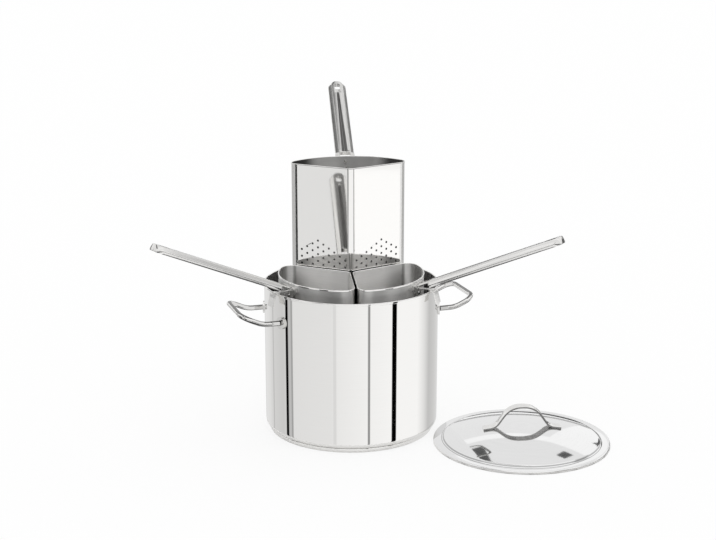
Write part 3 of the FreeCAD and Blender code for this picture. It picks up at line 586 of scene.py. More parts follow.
def make_lid():
    radii = [DOME_RADIUS * step / DOME_STEPS for step in range(DOME_STEPS)]
    dome = [(radius, dome_height(radius)) for radius in radii]
    step_end = DOME_RADIUS + STEP_WIDTH
    knee = [
        (DOME_RADIUS, RIDGE_HEIGHT),
        (DOME_RADIUS + STEP_BEND * STEP_WIDTH, RIDGE_HEIGHT - STEP_DROP * STEP_HEIGHT),
        (step_end, LID_FLANGE + STEP_FOOT * STEP_HEIGHT),
        (step_end + STEP_RUN_OUT, LID_FLANGE),
    ]
    edge = arc(LID_RADIUS - LID_EDGE, LID_FLANGE - LID_EDGE, LID_EDGE, 90, 0, 8)
    upper = dome + knee + edge + [(LID_RADIUS, 0.0)]
    turned_in = LID_RADIUS - LID_SHEET
    lower = [(turned_in, 0.0), (turned_in, LID_FLANGE - LID_EDGE)]
    lower += [(turned_in - LID_EDGE / 2, LID_FLANGE - LID_SHEET), (step_end, LID_FLANGE - LID_SHEET)]
    lower += [(radius, height - LID_SHEET) for radius, height in reversed(dome + knee[:1])]
    # Painted shade along both edges of the step, and a paler rim
    finishes = [0] * len(upper + lower)
    finishes[len(dome)] = 1
    finishes[len(dome) + 2] = 1
    for index in range(len(upper) - RIM_STRETCHES, len(upper)):
        finishes[index] = 2
    points, faces, tags = lathe(upper + lower, finishes)
    mesh = mesh_from("lid_dome", [LID_PLACE @ point for point in points], faces, tags)
    materials = [LID_STEEL, LID_PAINTED_RING, HOOK_STEEL]
    add_piece("lid_dome", mesh, "lid", ["lid_shell"], materials, sharp=40)


def make_strap():
    middle = (STRAP_END + STRAP_KNEE) / 2
    reach = (STRAP_END - STRAP_KNEE) / 2
    lean = middle / math.sqrt(DOME_ARC ** 2 - middle ** 2)
    level = dome_height(middle) + STRAP_SHEET / 2 + STRAP_GAP
    heights = (level - reach * lean, level + reach * lean, LID_TOP + STRAP_RISE)
    right = list(zip((STRAP_END, STRAP_KNEE, STRAP_TOP), heights))
    flat = [(-x, z) for x, z in right] + right[::-1]
    corners = [Vector((x, 0.0, z)) for x, z in flat]
    path = rounded_path(corners, [STRAP_KNEE_ROUND, STRAP_TOP_ROUND, STRAP_TOP_ROUND, STRAP_KNEE_ROUND])
    section = rounded_section(STRAP_WIDTH / 2, STRAP_SHEET / 2, STRAP_EDGE_ROUND)
    sideways = Vector((0.0, 1.0, 0.0))
    points, faces = sweep(path, sideways, section)
    across = LID_PLACE.to_3x3() @ sideways
    mesh = mesh_from("lid_strap", [LID_PLACE @ point for point in points], faces)
    # Painted dark reflections on the narrow sides and painted shade on the underside
    tags = []
    for face in mesh.polygons:
        beside = abs(face.normal.dot(across)) > STRAP_SIDE_LIMIT
        tags.append(1 if beside or face.normal.z < STRAP_UNDER_LIMIT else 0)
    mesh.polygons.foreach_set("material_index", tags)
    materials = [HANDLE_STEEL, STRAP_PAINTED_SHADE]
    add_piece("lid_strap", mesh, "lid", ["lid_handle"], materials, sharp=50)


# Baskets. Each is drawn with its middle line along +X and its lower edge at z = 0.


def basket_matrix(side):
    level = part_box(side + "_basket_arc_wall")[0].z
    return Matrix.Translation((0.0, 0.0, level)) @ Matrix.Rotation(BASKET_AZIMUTHS[side], 4, "Z")


CORNER_ORBIT = BASKET_RADIUS - BASKET_CORNER
CORNER_OFFSET = SECTOR_SIDE + BASKET_CORNER
CORNER_REACH = math.sqrt(CORNER_ORBIT ** 2 - CORNER_OFFSET ** 2)
ARC_HALF = SECTOR_HALF - math.asin(CORNER_OFFSET / CORNER_ORBIT)
FOLD_CENTRE = (SECTOR_SIDE + BASKET_FOLD) / math.sin(SECTOR_HALF)
FOLD_REACH = FOLD_CENTRE * math.cos(SECTOR_HALF)
SIDE_ANGLE = math.degrees(SECTOR_HALF) + 90.0
CORNER_STEPS = 22
ARC_STEPS = 64
POLISHED_TAG = 0
BRUSHED_TAG = 1
SATIN_TAG = 2
INNER_TAG = 3


def with_normals(x, y, radius, start, end, steps):
    """Pairs of point and outward normal along an arc, with angles in degrees."""
    centre = Vector((x, y, 0.0))
    normals = [Vector((*unit, 0.0)) for unit in arc(0.0, 0.0, 1.0, start, end, steps)]
    return [(centre + normal * radius, normal) for normal in normals]


def arc_route():
    """Outer face of the arc wall, from the middle of one corner's flat side to the other's."""
    reach = math.degrees(ARC_HALF)
    x = CORNER_ORBIT * math.cos(ARC_HALF)
    y = CORNER_ORBIT * math.sin(ARC_HALF)
    route = with_normals(x, -y, BASKET_CORNER, -SIDE_ANGLE, -reach, CORNER_STEPS)
    route += with_normals(0.0, 0.0, BASKET_RADIUS, -reach, reach, ARC_STEPS)[1:]
    route += with_normals(x, y, BASKET_CORNER, reach, SIDE_ANGLE, CORNER_STEPS)[1:]
    return route


def fold_route():
    return with_normals(FOLD_CENTRE, 0.0, BASKET_FOLD, SIDE_ANGLE, 360.0 - SIDE_ANGLE, 16)


def lengthened(route, length):
    """The route with a short straight run added at both ends, so that it leaves along the flat sides."""
    ends = []
    for (point, normal), (beyond, _) in ((route[0], route[1]), (route[-1], route[-2])):
        along = Vector((-normal.y, normal.x, 0.0))
        if along.dot(point - beyond) < 0:
            along = -along
        ends.append((point + along * length, normal))
    return [ends[0]] + route + [ends[1]]


def wall_strip(route, profile, closed, finishes):
    """Points, faces and material numbers of a wall profile of (inset, height) carried along a route.

    The finishes give the outer side's material number for each stretch of the route.
    """
    points = []
    count = len(profile)
    for point, normal in route:
        points += [point - normal * inset + Vector((0.0, 0.0, height)) for inset, height in profile]
    faces = []
    tags = []
    for index in range(len(route) if closed else len(route) - 1):
        row = index * count
        following = (index + 1) % len(route) * count
        for step in range(count):
            beside = (step + 1) % count
            faces.append([row + step, row + beside, following + beside, following + step])
            inner = min(profile[step][0], profile[beside][0]) > INNER_LIMIT
            outer = profile[step][0] == profile[beside][0] == 0.0
            within = INNER_TAG if finishes[index] == POLISHED_TAG else BRUSHED_TAG
            tags.append(within if inner else finishes[index] if outer else POLISHED_TAG)
    if not closed:
        faces += [list(range(count)), list(range(len(points) - count, len(points)))]
        tags += [POLISHED_TAG, POLISHED_TAG]
    return points, faces, tags


# Painted shade near the rounded corners, each of (strength, rise, start, end, fall). The last four are
# places along the wall from its end, between which the painted shade climbs, holds and drops.
RAISED_INSIDE_SHADE = (1.0, 0.0, 10 * MM, 44 * MM, 72 * MM)
RAISED_OUTSIDE_SHADE = (0.75, 18 * MM, 36 * MM, 38 * MM, 58 * MM)
# Painted shade over the raised basket's inner arc wall, full from the start distance on
RAISED_MIDDLE_SHADE = 0.45
RAISED_MIDDLE_START = 10 * MM
SEATED_CORNER_SHADE = (0.5, 0.0, 2 * MM, 4 * MM, 7 * MM)
SEATED_INSIDE_SHADE = (0.55, 12 * MM, 18 * MM, 40 * MM, 66 * MM)
SEATED_OUTSIDE_SHADE = (0.35, 22 * MM, 32 * MM, 38 * MM, 58 * MM)


def painted_shade_hill(place, strength, rise, start, end, fall):
    """Smooth hill of painted shade that climbs between rise and start and drops between end and fall."""
    share = min((place - rise) / (start - rise), (fall - place) / (fall - end), 1.0)
    return strength * math.sin(max(share, 0.0) * math.pi / 2) ** 2


def painted_corner_shades(route, profile, raised):
    """Painted shade near the rounded corners, for each point of a strip of the arc wall."""
    steps = [(after - before).length for (before, _), (after, _) in zip(route, route[1:])]
    total = sum(steps)
    shades = []
    place = 0.0
    for step in [0.0] + steps:
        place += step
        from_end = min(place, total - place)
        if raised:
            middle = RAISED_MIDDLE_SHADE * min(from_end / RAISED_MIDDLE_START, 1.0)
            inside = middle + (1.0 - middle) * painted_shade_hill(from_end, *RAISED_INSIDE_SHADE)
            outside = painted_shade_hill(from_end, *RAISED_OUTSIDE_SHADE)
        else:
            inside = painted_shade_hill(from_end, *SEATED_CORNER_SHADE) + painted_shade_hill(from_end, *SEATED_INSIDE_SHADE)
            outside = painted_shade_hill(from_end, *SEATED_OUTSIDE_SHADE)
        shades += [inside if inset > INNER_LIMIT else outside for inset, _ in profile]
    return shades


def joined(*parts):
    """Points, faces and material numbers of several strips in one."""
    points = []
    faces = []
    tags = []
    for more_points, more_faces, more_tags in parts:
        first = len(points)
        points += more_points
        faces += [[first + corner for corner in face] for face in more_faces]
        tags += more_tags
    return points, faces, tags


def make_wall(side):
    """One bent sheet round the whole basket above the holes, and its curved parts beside them."""
    top = BASKET_HEIGHT
    hem = top - HEM_HEIGHT
    turn = (BASKET_SHEET + HEM_SHEET) / 2
    rolled = arc(0.0, 0.0, turn, 180, 0, 8)
    upper = [(0.0, HOLE_LIMIT), (0.0, hem), (-HEM_SHEET, hem + HEM_TURN)]
    upper += [(x + turn - HEM_SHEET, top - turn + z) for x, z in rolled]
    upper += [(BASKET_SHEET, HOLE_LIMIT)]
    lower = [(0.0, 0.0), (0.0, HOLE_LIMIT), (BASKET_SHEET, HOLE_LIMIT), (BASKET_SHEET, 0.0)]
    arc_line = arc_route()
    fold_line = fold_route()
    full = lengthened(arc_line, STRAIGHT_RUN) + lengthened(fold_line, STRAIGHT_RUN)
    raised = side == "rear"
    corner = [SATIN_TAG if raised else BRUSHED_TAG] * CORNER_STEPS
    arc_finish = corner + [BRUSHED_TAG] * ARC_STEPS + corner
    flat = [POLISHED_TAG] * len(full)
    points, faces, tags = joined(
        wall_strip(full, upper, True, flat[:1] + arc_finish + flat),
        wall_strip(arc_line, lower, False, arc_finish),
        wall_strip(fold_line, lower, False, flat),
    )
    # Painted shade: bend values that darken the steel's colour near the corners
    rest = [0.0] * (len(full) - len(arc_line) - 1) * len(upper)
    shades = [0.0] * len(upper) + painted_corner_shades(arc_line, upper, raised) + rest
    shades += painted_corner_shades(arc_line, lower, raised) + [0.0] * len(fold_line) * len(lower)
    place = basket_matrix(side)
    name = side + "_wall"
    mesh = mesh_from(name, [place @ point for point in points], faces, tags)
    bend = mesh.attributes.new("bend", "FLOAT", "POINT")
    bend.data.foreach_set("value", shades)
    nodes = [side + "_basket_arc_wall"]
    materials = [POLISHED, BRUSHED, SATIN, INNER_STEEL]
    add_piece(name, mesh, side + "_basket", nodes, materials, sharp=40)


def panel_holes():
    """Staggered columns of holes under a gable-shaped upper limit."""
    start = FOLD_REACH + HOLE_FOLD_MARGIN
    room = CORNER_REACH - HOLE_MARGIN - start
    columns = int(room // HOLE_COLUMN) + 1
    start += (room - (columns - 1) * HOLE_COLUMN) / 2
    spots = []
    for column in range(columns):
        x = start + column * HOLE_COLUMN
        top = HOLE_PEAK - math.tan(HOLE_SLOPE) * abs(x - HOLE_PEAK_PLACE)
        y = HOLE_FIRST + HOLE_ROW / 2 * (column % 2)
        while y <= top:
            spots.append((x, y))
            y += HOLE_ROW
    return spots


def tag_inner_side(mesh, outward):
    """Give the faces that look into the basket, on the sheet's inner side, the second material."""
    depths = [face.center.dot(outward) for face in mesh.polygons]
    limit = min(depths) + (max(depths) - min(depths)) / 4
    mesh.polygons.foreach_set("material_index", [1 if depth < limit else 0 for depth in depths])


def make_panel(side, hand, sign):
    """Perforated flat side, up to the level where the bent sheet goes on above it."""
    outline = [(FOLD_REACH, 0.0), (CORNER_REACH, 0.0)]
    outline += [(CORNER_REACH, HOLE_LIMIT), (FOLD_REACH, HOLE_LIMIT)]
    name = f"{side}_{hand}_strainer"
    mesh = perforated_sheet(name, outline, panel_holes(), HOLE_RADIUS, BASKET_SHEET)
    normal = Vector((-math.sin(SECTOR_HALF), sign * math.cos(SECTOR_HALF), 0.0))
    along = Vector((math.cos(SECTOR_HALF), sign * math.sin(SECTOR_HALF), 0.0))
    upright = Vector((0.0, 0.0, 1.0))
    frame_axes = Matrix((along, upright, along.cross(upright))).transposed().to_4x4()
    shift = Matrix.Translation(-normal * (SECTOR_SIDE + BASKET_SHEET / 2))
    place = basket_matrix(side)
    mesh.transform(place @ shift @ frame_axes)
    tag_inner_side(mesh, place.to_3x3() @ normal)
    nodes = [f"{side}_basket_{hand}_panel"]
    add_piece(name, mesh, side + "_basket", nodes, [POLISHED, INNER_STEEL], sharp=40)


def floor_outline():
    inset = BASKET_SHEET + FLOOR_GAP
    return [(point - normal * inset).to_2d() for point, normal in arc_route() + fold_route()]


def floor_holes():
    """Hexagonal grid of holes that keeps clear of the walls."""
    limit = BASKET_RADIUS - FLOOR_MARGIN
    rows = int(limit // FLOOR_PITCH) + 2
    spots = []
    for row in range(-rows, rows + 1):
        y = row * FLOOR_PITCH * math.sqrt(3) / 2
        for column in range(2 * rows):
            x = (column + row % 2 / 2) * FLOOR_PITCH
            room = x * math.sin(SECTOR_HALF) - abs(y) * math.cos(SECTOR_HALF) - SECTOR_SIDE
            if room >= FLOOR_MARGIN and math.hypot(x, y) <= limit:
                spots.append((x, y))
    return spots


def make_floor(side):
    name = side + "_floor"
    mesh = perforated_sheet(name, floor_outline(), floor_holes(), HOLE_RADIUS, FLOOR_SHEET)
    level = Matrix.Translation((0.0, 0.0, FLOOR_LEVEL + FLOOR_SHEET / 2))
    mesh.transform(basket_matrix(side) @ level)
    tag_inner_side(mesh, Vector((0.0, 0.0, -1.0)))
    nodes = [side + "_basket_floor"]
    add_piece(name, mesh, side + "_basket", nodes, [POLISHED, BRUSHED], sharp=40)


def grip_section(place):
    """Section across the handle at a distance from its root: the top, then the underside."""
    past = place - (GRIP_LENGTH - GRIP_CORNER)
    half = GRIP_HALF
    if past > 0:
        half = GRIP_HALF - GRIP_CORNER + math.sqrt(max(GRIP_CORNER ** 2 - past ** 2, 0.0))
    top = GRIP_TOP
    thick = FORK_SHEET if place < FORK_LENGTH else GRIP_THICK
    scale = thick / GRIP_THICK
    bottom = top - thick
    share = max(min((place - FORK_LENGTH) / (GRIP_LENGTH - FORK_LENGTH), 1.0), 0.0)
    groove = GROOVE_ROOT + (GROOVE_TIP - GROOVE_ROOT) * share
    run_in = (place - FORK_LENGTH - GROOVE_SETBACK) / GROOVE_RUN_IN
    run_out = (GROOVE_END - place) / GROOVE_RUN_OUT
    depth = max(min(run_out, run_in, 1.0), 0.0)
    shoulder = min(GRIP_SHOULDER, half * GRIP_SHOULDER_SHARE)
    inner = min(groove, shoulder - GROOVE_LEDGE)
    low = top - GROOVE_DEPTH * depth * (0.5 + groove / GROOVE_ROOT / 2)
    lip = GRIP_LIP * scale
    outline = ((half, bottom + lip), (half, top - GRIP_FALL * scale), (shoulder, top), (inner, top))
    corners = [Vector((x, 0.0, z)) for x, z in outline]
    rounded = rounded_path(corners, [GRIP_EDGE_ROUND * scale, GRIP_TOP_ROUND], 4)
    right = [(half - lip / 3, bottom)] + [(point.x, point.z) for point in rounded]
    right += [(inner * GROOVE_WALL, (top + low) / 2), (inner * GROOVE_FLOOR, low)]
    upper = right + [(-x, z) for x, z in reversed(right)]
    closed = place > GRIP_LENGTH - GRIP_SHEET or place < FORK_LENGTH
    below = max(half - GRIP_SHEET, HOLLOW_HALF_MIN)
    floor = bottom + HOLLOW_CLOSED
    roof = floor if closed else top - GROOVE_DEPTH - GRIP_SHEET
    ledge = floor if closed else bottom + HOLLOW_LEDGE
    hollow = [(below, bottom), (below, ledge), (below * HOLLOW_ROOF, roof)]
    return upper + [(-x, z) for x, z in hollow] + hollow[::-1]


def grip_stations():
    """Distances from the root at which the handle's section is drawn, closer where it changes."""
    fork = FORK_LENGTH
    stations = [GRIP_START, LEG_MIDDLE, fork - GRIP_SPLIT, fork + GRIP_SPLIT]
    stations += [fork + step * MM for step in (2, 3, 4, 5)]
    full_depth = fork + GROOVE_SETBACK + GROOVE_RUN_IN
    stations += [full_depth + step * GRIP_STEP for step in range(1, 20)]
    stations += [GROOVE_END - step * MM for step in (4, 3, 2, 1, 0)]
    bend = GRIP_LENGTH - GRIP_CORNER
    stations += [bend + GRIP_CORNER * math.sin(math.radians(angle)) for angle in range(0, 88, 6)]
    end_wall = GRIP_LENGTH - GRIP_SHEET
    stations += [end_wall - GRIP_SPLIT, end_wall + GRIP_SPLIT, GRIP_LENGTH]
    return sorted(set(stations))


def grip_tags(mesh):
    """Second material, painted shade, for the groove and for the lips along the lower edges."""
    tags = []
    for face in mesh.polygons:
        sunk = face.center.z < GRIP_TOP - SUNK_DEPTH and abs(face.center.y) < GROOVE_ROOT
        in_run = FORK_LENGTH + GROOVE_SETBACK < face.center.x < GROOVE_END
        lip = face.center.z < GRIP_TOP - GRIP_THICK + GRIP_LIP and abs(face.normal.y) > LIP_LIMIT
        tags.append(1 if in_run and (lip or sunk and face.normal.z > SUNK_LIMIT) else 0)
    return tags


def make_grip(side):
    """Stamped channel handle with a groove, a forked root and a hanging hole."""
    stations = grip_stations()
    sections = [grip_section(place) for place in stations]
    count = len(sections[0])
    points = []
    for place, section in zip(stations, sections):
        points += [Vector((place, y, z)) for y, z in section]
    name = side + "_grip"
    mesh = mesh_from(name, points, strip_faces(len(points), count))
    piece = bpy.data.objects.new(name, mesh)
    bpy.context.scene.collection.objects.link(piece)
    window = [(-FORK_LENGTH, -FORK_HALF), (FORK_LENGTH, -FORK_HALF)]
    window += [(FORK_LENGTH, FORK_HALF), (-FORK_LENGTH, FORK_HALF)]
    cut_out(piece, prism("fork_cutter", window, -GRIP_THICK, GRIP_THICK))
    hang_end = GRIP_LENGTH - HANG_SETBACK - HANG_HALF
    hang_start = hang_end - HANG_LENGTH + 2 * HANG_HALF
    oval = arc(hang_end, 0.0, HANG_HALF, -90, 90, 16) + arc(hang_start, 0.0, HANG_HALF, 90, 270, 16)
    cut_out(piece, prism("hang_cutter", oval, -GRIP_THICK, GRIP_THICK))
    mesh = piece.data
    bpy.data.objects.remove(piece)
    lay = mesh.uv_layers.new(name="along")
    for loop in mesh.loops:
        spot = mesh.vertices[loop.vertex_index].co
        lay.data[loop.index].uv = (spot.x, spot.y)
    mesh.materials.clear()
    mesh.polygons.foreach_set("material_index", grip_tags(mesh))
    root = Matrix.Translation((BASKET_RADIUS, 0.0, BASKET_HEIGHT - GRIP_DROP))
    mesh.transform(basket_matrix(side) @ root @ Matrix.Rotation(-GRIP_SLOPE, 4, "Y"))
    nodes = [side + "_basket_handle"]
    add_piece(name, mesh, side + "_basket", nodes, [GRIP_STEEL, GRIP_PAINTED_SHADE], sharp=30)


def make_hook(side):
    """Bent strip with a narrow neck from the bracket to the pot's rim and a broad end outside it."""
    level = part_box(side + "_basket_arc_wall")[0].z
    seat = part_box(side + "_basket_rim_hook")[1].z - level - HOOK_SHEET / 2
    end = HOOK_BEND + HOOK_DROP * math.tan(HOOK_SLANT)
    corners = [(HOOK_START, seat), (HOOK_BEND, seat), (end, seat + HOOK_SHEET / 2 - HOOK_DROP)]
    bent = rounded_path([Vector((x, 0.0, z)) for x, z in corners], [HOOK_ROUND], 8)
    neck_end = HOOK_BEND - HOOK_NECK_END
    shoulder = Vector((neck_end + HOOK_NECK, 0.0, seat))
    path = [bent[0], Vector((neck_end, 0.0, seat)), shoulder] + bent[1:]
    halves = [HOOK_NECK] * 2 + [HOOK_HALF] * (len(path) - 2)
    sideways = Vector((0.0, 1.0, 0.0))
    points = []
    for spot, along, half in zip(path, directions(path), halves):
        lift = along.cross(sideways) * (HOOK_SHEET / 2)
        lower = [spot - sideways * half - lift, spot + sideways * half - lift]
        upper = [spot + sideways * half + lift, spot - sideways * half + lift]
        points += lower + upper
    name = side + "_hook"
    place = basket_matrix(side)
    mesh = mesh_from(name, [place @ point for point in points], strip_faces(len(points), 4))
    nodes = [side + "_basket_rim_hook"]
    add_piece(name, mesh, side + "_basket", nodes, [HOOK_STEEL], sharp=40)


def dress_solid(node, material, bevel):
    """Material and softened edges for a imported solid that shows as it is."""
    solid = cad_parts[node]
    solid.data.materials.clear()
    solid.data.materials.append(material)
    soften = solid.modifiers.new("soft_edges", "BEVEL")
    soften.width = bevel
    soften.segments = 2
    soften.limit_method = "ANGLE"
    soften.angle_limit = BEVEL_ANGLE


make_pot()
make_base()
make_side_handle("right", RIGHT_ROD_AZIMUTH)
make_side_handle("left", RIGHT_ROD_AZIMUTH + math.pi)
make_lid()
make_strap()
for side in BASKET_AZIMUTHS:
    make_wall(side)
    make_panel(side, "left", 1)
    make_panel(side, "right", -1)
    make_floor(side)
    make_grip(side)
    make_hook(side)
    dress_solid(side + "_basket_bracket", HOOK_STEEL, BRACKET_BEVEL)
    dress_solid(side + "_basket_rivets", HANDLE_STEEL, RIVET_BEVEL)
for side in ("left", "right"):
    for end in ("front", "rear"):
        dress_solid(f"pot_handle_{side}_{end}_flange", HANDLE_STEEL, FLANGE_BEVEL)


# Studio. The screens and cards below are seen in the polished steel alone, as a light tent's are. Their
# sizes are in metres, their angles in degrees from the front, positive to the right.

SCREEN_STEP = 4.0
SKY_DISTANCE = 2.5
NEAR_SKY = 2.4
FAR_SKY = 12.0
SKY_ROWS = 4
SKY_COLUMNS = 8
BAND_STEPS = 24
CARD_LIFT = 0.4 * MM
APRON_LIFT = 0.6 * MM
SCREEN_FOOT = 0.5 * MM


def shaded_material():
    """Plain glow whose brightness comes from the mesh's own shade values."""
    material = bpy.data.materials.new("studio_card")
    material.use_nodes = True
    nodes = material.node_tree.nodes
    nodes.clear()
    shade = nodes.new("ShaderNodeAttribute")
    shade.attribute_name = "shade"
    glow = nodes.new("ShaderNodeEmission")
    output = nodes.new("ShaderNodeOutputMaterial")
    material.node_tree.links.new(shade.outputs["Color"], glow.inputs["Color"])
    material.node_tree.links.new(glow.outputs["Emission"], output.inputs["Surface"])
    return material


CARD_MATERIAL = shaded_material()


def add_card(name, rows, shades):
    """Card of the light tent from rows of points and their shades, seen in reflections only."""
    points = sum(rows, [])
    width = len(rows[0])
    faces = []
    for first in range(len(points) - width):
        if (first + 1) % width:
            faces.append([first, first + 1, first + width + 1, first + width])
    mesh = bpy.data.meshes.new(name)
    mesh.from_pydata([tuple(point) for point in points], [], faces)
    values = mesh.color_attributes.new("shade", "FLOAT_COLOR", "POINT")
    for value, shade in zip(values.data, shades):
        value.color = (shade, shade, shade, 1.0)
    mesh.materials.append(CARD_MATERIAL)
    card = bpy.data.objects.new("card_" + name, mesh)
    bpy.context.scene.collection.objects.link(card)
    card.visible_camera = False
    card.visible_diffuse = False
    card.visible_shadow = False
    card.visible_transmission = False
    card.visible_volume_scatter = False


def toward(angle, elevation=0.0):
    """Unit vector at an angle from the front, positive to the right, and an elevation, in degrees."""
    turn = math.radians(angle)
    lift = math.radians(elevation)
    return Vector((math.sin(turn) * math.cos(lift), -math.cos(turn) * math.cos(lift), math.sin(lift)))


def round_screen(name, radius, low, high, stops):
    """Upright curved screen round the pot's axis; stops give its shade by angle."""
    points = []
    shades = []
    for (angle, shade), (next_angle, next_shade) in zip(stops, stops[1:]):
        steps = max(1, math.ceil((next_angle - angle) / SCREEN_STEP))
        for step in range(steps):
            share = step / steps
            points.append(toward(angle + (next_angle - angle) * share) * radius)
            shades.append(shade + (next_shade - shade) * share)
    points.append(toward(stops[-1][0]) * radius)
    shades.append(stops[-1][1])
    rows = [[point + Vector((0.0, 0.0, height)) for point in points] for height in (low, high)]
    add_card(name, rows, shades + shades)


def shade_at(glow, angle):
    """Shade of a glow at an angle between its stops."""
    for (before, shade), (after, next_shade) in zip(glow, glow[1:]):
        if before <= angle <= after:
            return shade + (next_shade - shade) * (angle - before) / (after - before)
    return glow[-1][1]


def with_strips(glow, strips, soft):
    """Stops of a glow with narrow strips hung on it, whose edges fade over a soft width."""

    def clear_of(angle, others):
        return all(abs(angle - middle) > half + soft for middle, half, _ in others)

    stops = [stop for stop in glow if clear_of(stop[0], strips)]
    for strip in strips:
        angle, half, shade = strip
        others = [other for other in strips if other is not strip]
        stops += [(angle - half, shade), (angle + half, shade)]
        edges = (angle - half - soft, angle + half + soft)
        stops += [(edge, shade_at(glow, edge)) for edge in edges if clear_of(edge, others)]
    return sorted(stops)


def evenly(limits, steps):
    """Values spaced evenly from the first limit to the second."""
    return [limits[0] + (limits[1] - limits[0]) * step / steps for step in range(steps + 1)]


def sky_card(name, angles, elevations, shade, distance=SKY_DISTANCE):
    """Card high up, over a range of angles and elevations."""
    rows = []
    for lift in evenly(elevations, SKY_ROWS):
        rows.append([toward(turn, lift) * distance for turn in evenly(angles, SKY_COLUMNS)])
    add_card(name, rows, [shade] * len(sum(rows, [])))


def floor_band(name, angles, radii, shade, middle=Vector((0.0, 0.0, CARD_LIFT))):
    """Flat card on the floor, part of a ring round the pot or another middle."""
    turns = evenly(angles, BAND_STEPS)
    rows = [[toward(turn) * radius + middle for turn in turns] for radius in radii]
    add_card(name, rows, [shade] * len(sum(rows, [])))


# Shades of the screen round the pot by angle, and the narrow strips hung on it, each of
# (angle, half width, shade).
POT_GLOW = [
    (-180, 0.62), (-112, 0.66), (-95, 0.80), (-82, 0.78), (-74, 0.70), (-57, 0.64), (-45, 0.79),
    (-14, 0.82), (-9, 0.88), (12, 0.95), (34, 1.0), (55, 1.0), (64, 0.80), (72, 0.57), (100, 0.72),
    (180, 0.62),
]
POT_STRIPS = [
    (-72.5, 0.6, 0.52), (-52.1, 1.1, 0.0), (-49.1, 1.2, 0.55), (-46.8, 0.6, 0.38),
    (-11.5, 0.8, 0.75), (12.8, 0.5, 0.30), (32.1, 1.6, 0.0),
]
STRIP_SOFT = 0.6
SCREEN_RADIUS = 0.135
SCREEN_TOP = 0.2075
SCREEN_BACK = SCREEN_RADIUS + 0.5 * MM
BACK_SHADE = 0.84
LINE_TOP = 0.36
LEFT_FLOOR = [[(-2.2, -0.2), (-2.2, -1.9)], [(-0.7, -0.2), (-0.7, -1.9)]]
LEFT_FLOOR_SHADE = 0.80
APRON_RADII = (LID_RADIUS + 1 * MM, LID_RADIUS + 30 * MM)


def light_tent():
    """What the steel mirrors: screens round the pot, cards in the sky and bands on the floor."""
    pot_stops = with_strips(POT_GLOW, POT_STRIPS, STRIP_SOFT)
    round_screen("pot_screen", SCREEN_RADIUS, SCREEN_FOOT, SCREEN_TOP, pot_stops)
    back_stops = [(-180, BACK_SHADE), (180, BACK_SHADE)]
    round_screen("pot_screen_back", SCREEN_BACK, SCREEN_FOOT, SCREEN_TOP, back_stops)
    sky_card("lid_left", (181.5, 191.0), (42, 60), 0.10, NEAR_SKY)
    left_floor = [[(x, y, SCREEN_FOOT) for x, y in row] for row in LEFT_FLOOR]
    add_card("left_floor", left_floor, [LEFT_FLOOR_SHADE] * 4)
    sky_card("left_high", (-66, -30), (46, 72), 0.22)
    sky_card("lid_back", (130, 230), (36, 64), 0.84)
    sky_card("lid_right", (144.2, 148.6), (40, 45.5), 0.10, NEAR_SKY)
    sky_card("lid_rear", (158, 202), (3, 31), 0.86)
    round_screen("corner_line", 0.6, 0.0, LINE_TOP, [(-86, 0.02), (-63, 0.02)])
    round_screen("fold_line", 0.62, 0.0, LINE_TOP, [(-46, 0.05), (-33, 0.05)])
    round_screen("skyline", 3.0, 0.05, 0.75, [(-135, 0.12), (135, 0.12)])
    sky_card("rear_left", (-148, -135), (15, 31), 0.12, FAR_SKY)
    sky_card("rear_line", (140, 220), (-1, 3.5), 0.45, FAR_SKY)
    sky_card("rear_right", (147, 155.5), (7, 22), 0.12, FAR_SKY)
    sky_card("side_right", (96, 132), (34, 46), 0.62)
    floor_band("near_floor", (-125, 120), (0.17, 0.55), 0.10)
    floor_band("back_left_floor", (-170, -84), (0.6, 2.6), 0.55)
    floor_band("back_right_floor", (100, 170), (0.9, 2.6), 0.50)
    floor_band("right_floor", (61, 76), (0.95, 1.95), 1.08)
    floor_band("rear_floor", (164, 178.5), (1.5, 8.8), 0.03)
    sky_card("left_rear_high", (-150, -117), (33, 49), 0.30)
    lid_middle = Vector((LID_CENTRE.x, LID_CENTRE.y, APRON_LIFT))
    floor_band("lid_apron", (0, 360), APRON_RADII, 0.75, lid_middle)
    round_screen("fold_line_right", 0.62, 0.0, LINE_TOP, [(50, 0.30), (63, 0.30)])


FLOOR_HALF = 9.0
FLOOR_SINK = 0.05 * MM
FLOOR_WHITE = (0.98, 0.98, 0.98, 1.0)
FLOOR_GLOW = 0.80


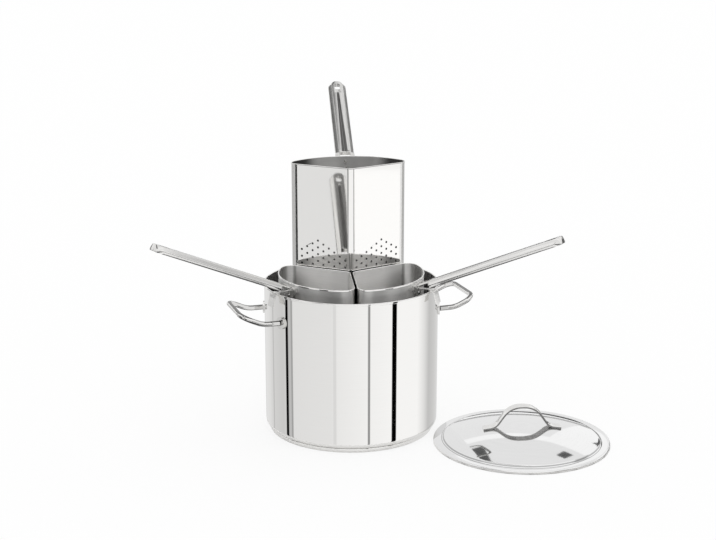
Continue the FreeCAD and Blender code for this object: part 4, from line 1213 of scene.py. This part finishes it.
def plain_floor():
    """White floor that keeps the object's soft shadow, and glows in part where the camera sees it."""
    corners = [(x * FLOOR_HALF, y * FLOOR_HALF, 0) for x, y in ((-1, -1), (1, -1), (1, 1), (-1, 1))]
    mesh = mesh_from("floor", corners, [[0, 1, 2, 3]])
    floor = bpy.data.objects.new("studio_floor", mesh)
    floor.location.z = -FLOOR_SINK
    bpy.context.scene.collection.objects.link(floor)
    material = bpy.data.materials.new("studio_floor")
    material.use_nodes = True
    nodes = material.node_tree.nodes
    links = material.node_tree.links
    shader = nodes["Principled BSDF"]
    shader.inputs["Base Color"].default_value = FLOOR_WHITE
    shader.inputs["Roughness"].default_value = 1.0
    shader.inputs["Specular IOR Level"].default_value = 0.0
    glow = nodes.new("ShaderNodeEmission")
    rays = nodes.new("ShaderNodeLightPath")
    share = nodes.new("ShaderNodeMapRange")
    share.inputs["To Max"].default_value = FLOOR_GLOW
    links.new(rays.outputs["Is Camera Ray"], share.inputs["Value"])
    both = nodes.new("ShaderNodeMixShader")
    links.new(share.outputs["Result"], both.inputs["Fac"])
    links.new(shader.outputs["BSDF"], both.inputs[1])
    links.new(glow.outputs["Emission"], both.inputs[2])
    links.new(both.outputs["Shader"], nodes["Material Output"].inputs["Surface"])
    mesh.materials.append(material)


def white_world():
    world = bpy.data.worlds.new("studio")
    bpy.context.scene.world = world
    world.use_nodes = True
    background = world.node_tree.nodes["Background"]
    background.inputs["Color"].default_value = (1.0, 1.0, 1.0, 1.0)
    background.inputs["Strength"].default_value = 1.0


# Camera, fitted to the photo
PHOTO_WIDTH = 716.0
FOCAL_PIXELS = 1500.0
SENSOR_WIDTH = 36.0
CAMERA_PLACE = (0.00942, -2.0192, 0.7481)
CAMERA_TILT = math.radians(90.0 - 14.49)


def add_camera():
    lens = bpy.data.cameras.new("photo_camera")
    lens.sensor_width = SENSOR_WIDTH
    lens.lens = FOCAL_PIXELS * SENSOR_WIDTH / PHOTO_WIDTH
    camera = bpy.data.objects.new("photo_camera", lens)
    camera.location = CAMERA_PLACE
    camera.rotation_euler = (CAMERA_TILT, 0.0, 0.0)
    bpy.context.scene.collection.objects.link(camera)
    bpy.context.scene.camera = camera


light_tent()
plain_floor()
white_world()
add_camera()
bpy.context.scene.view_settings.view_transform = "Standard"
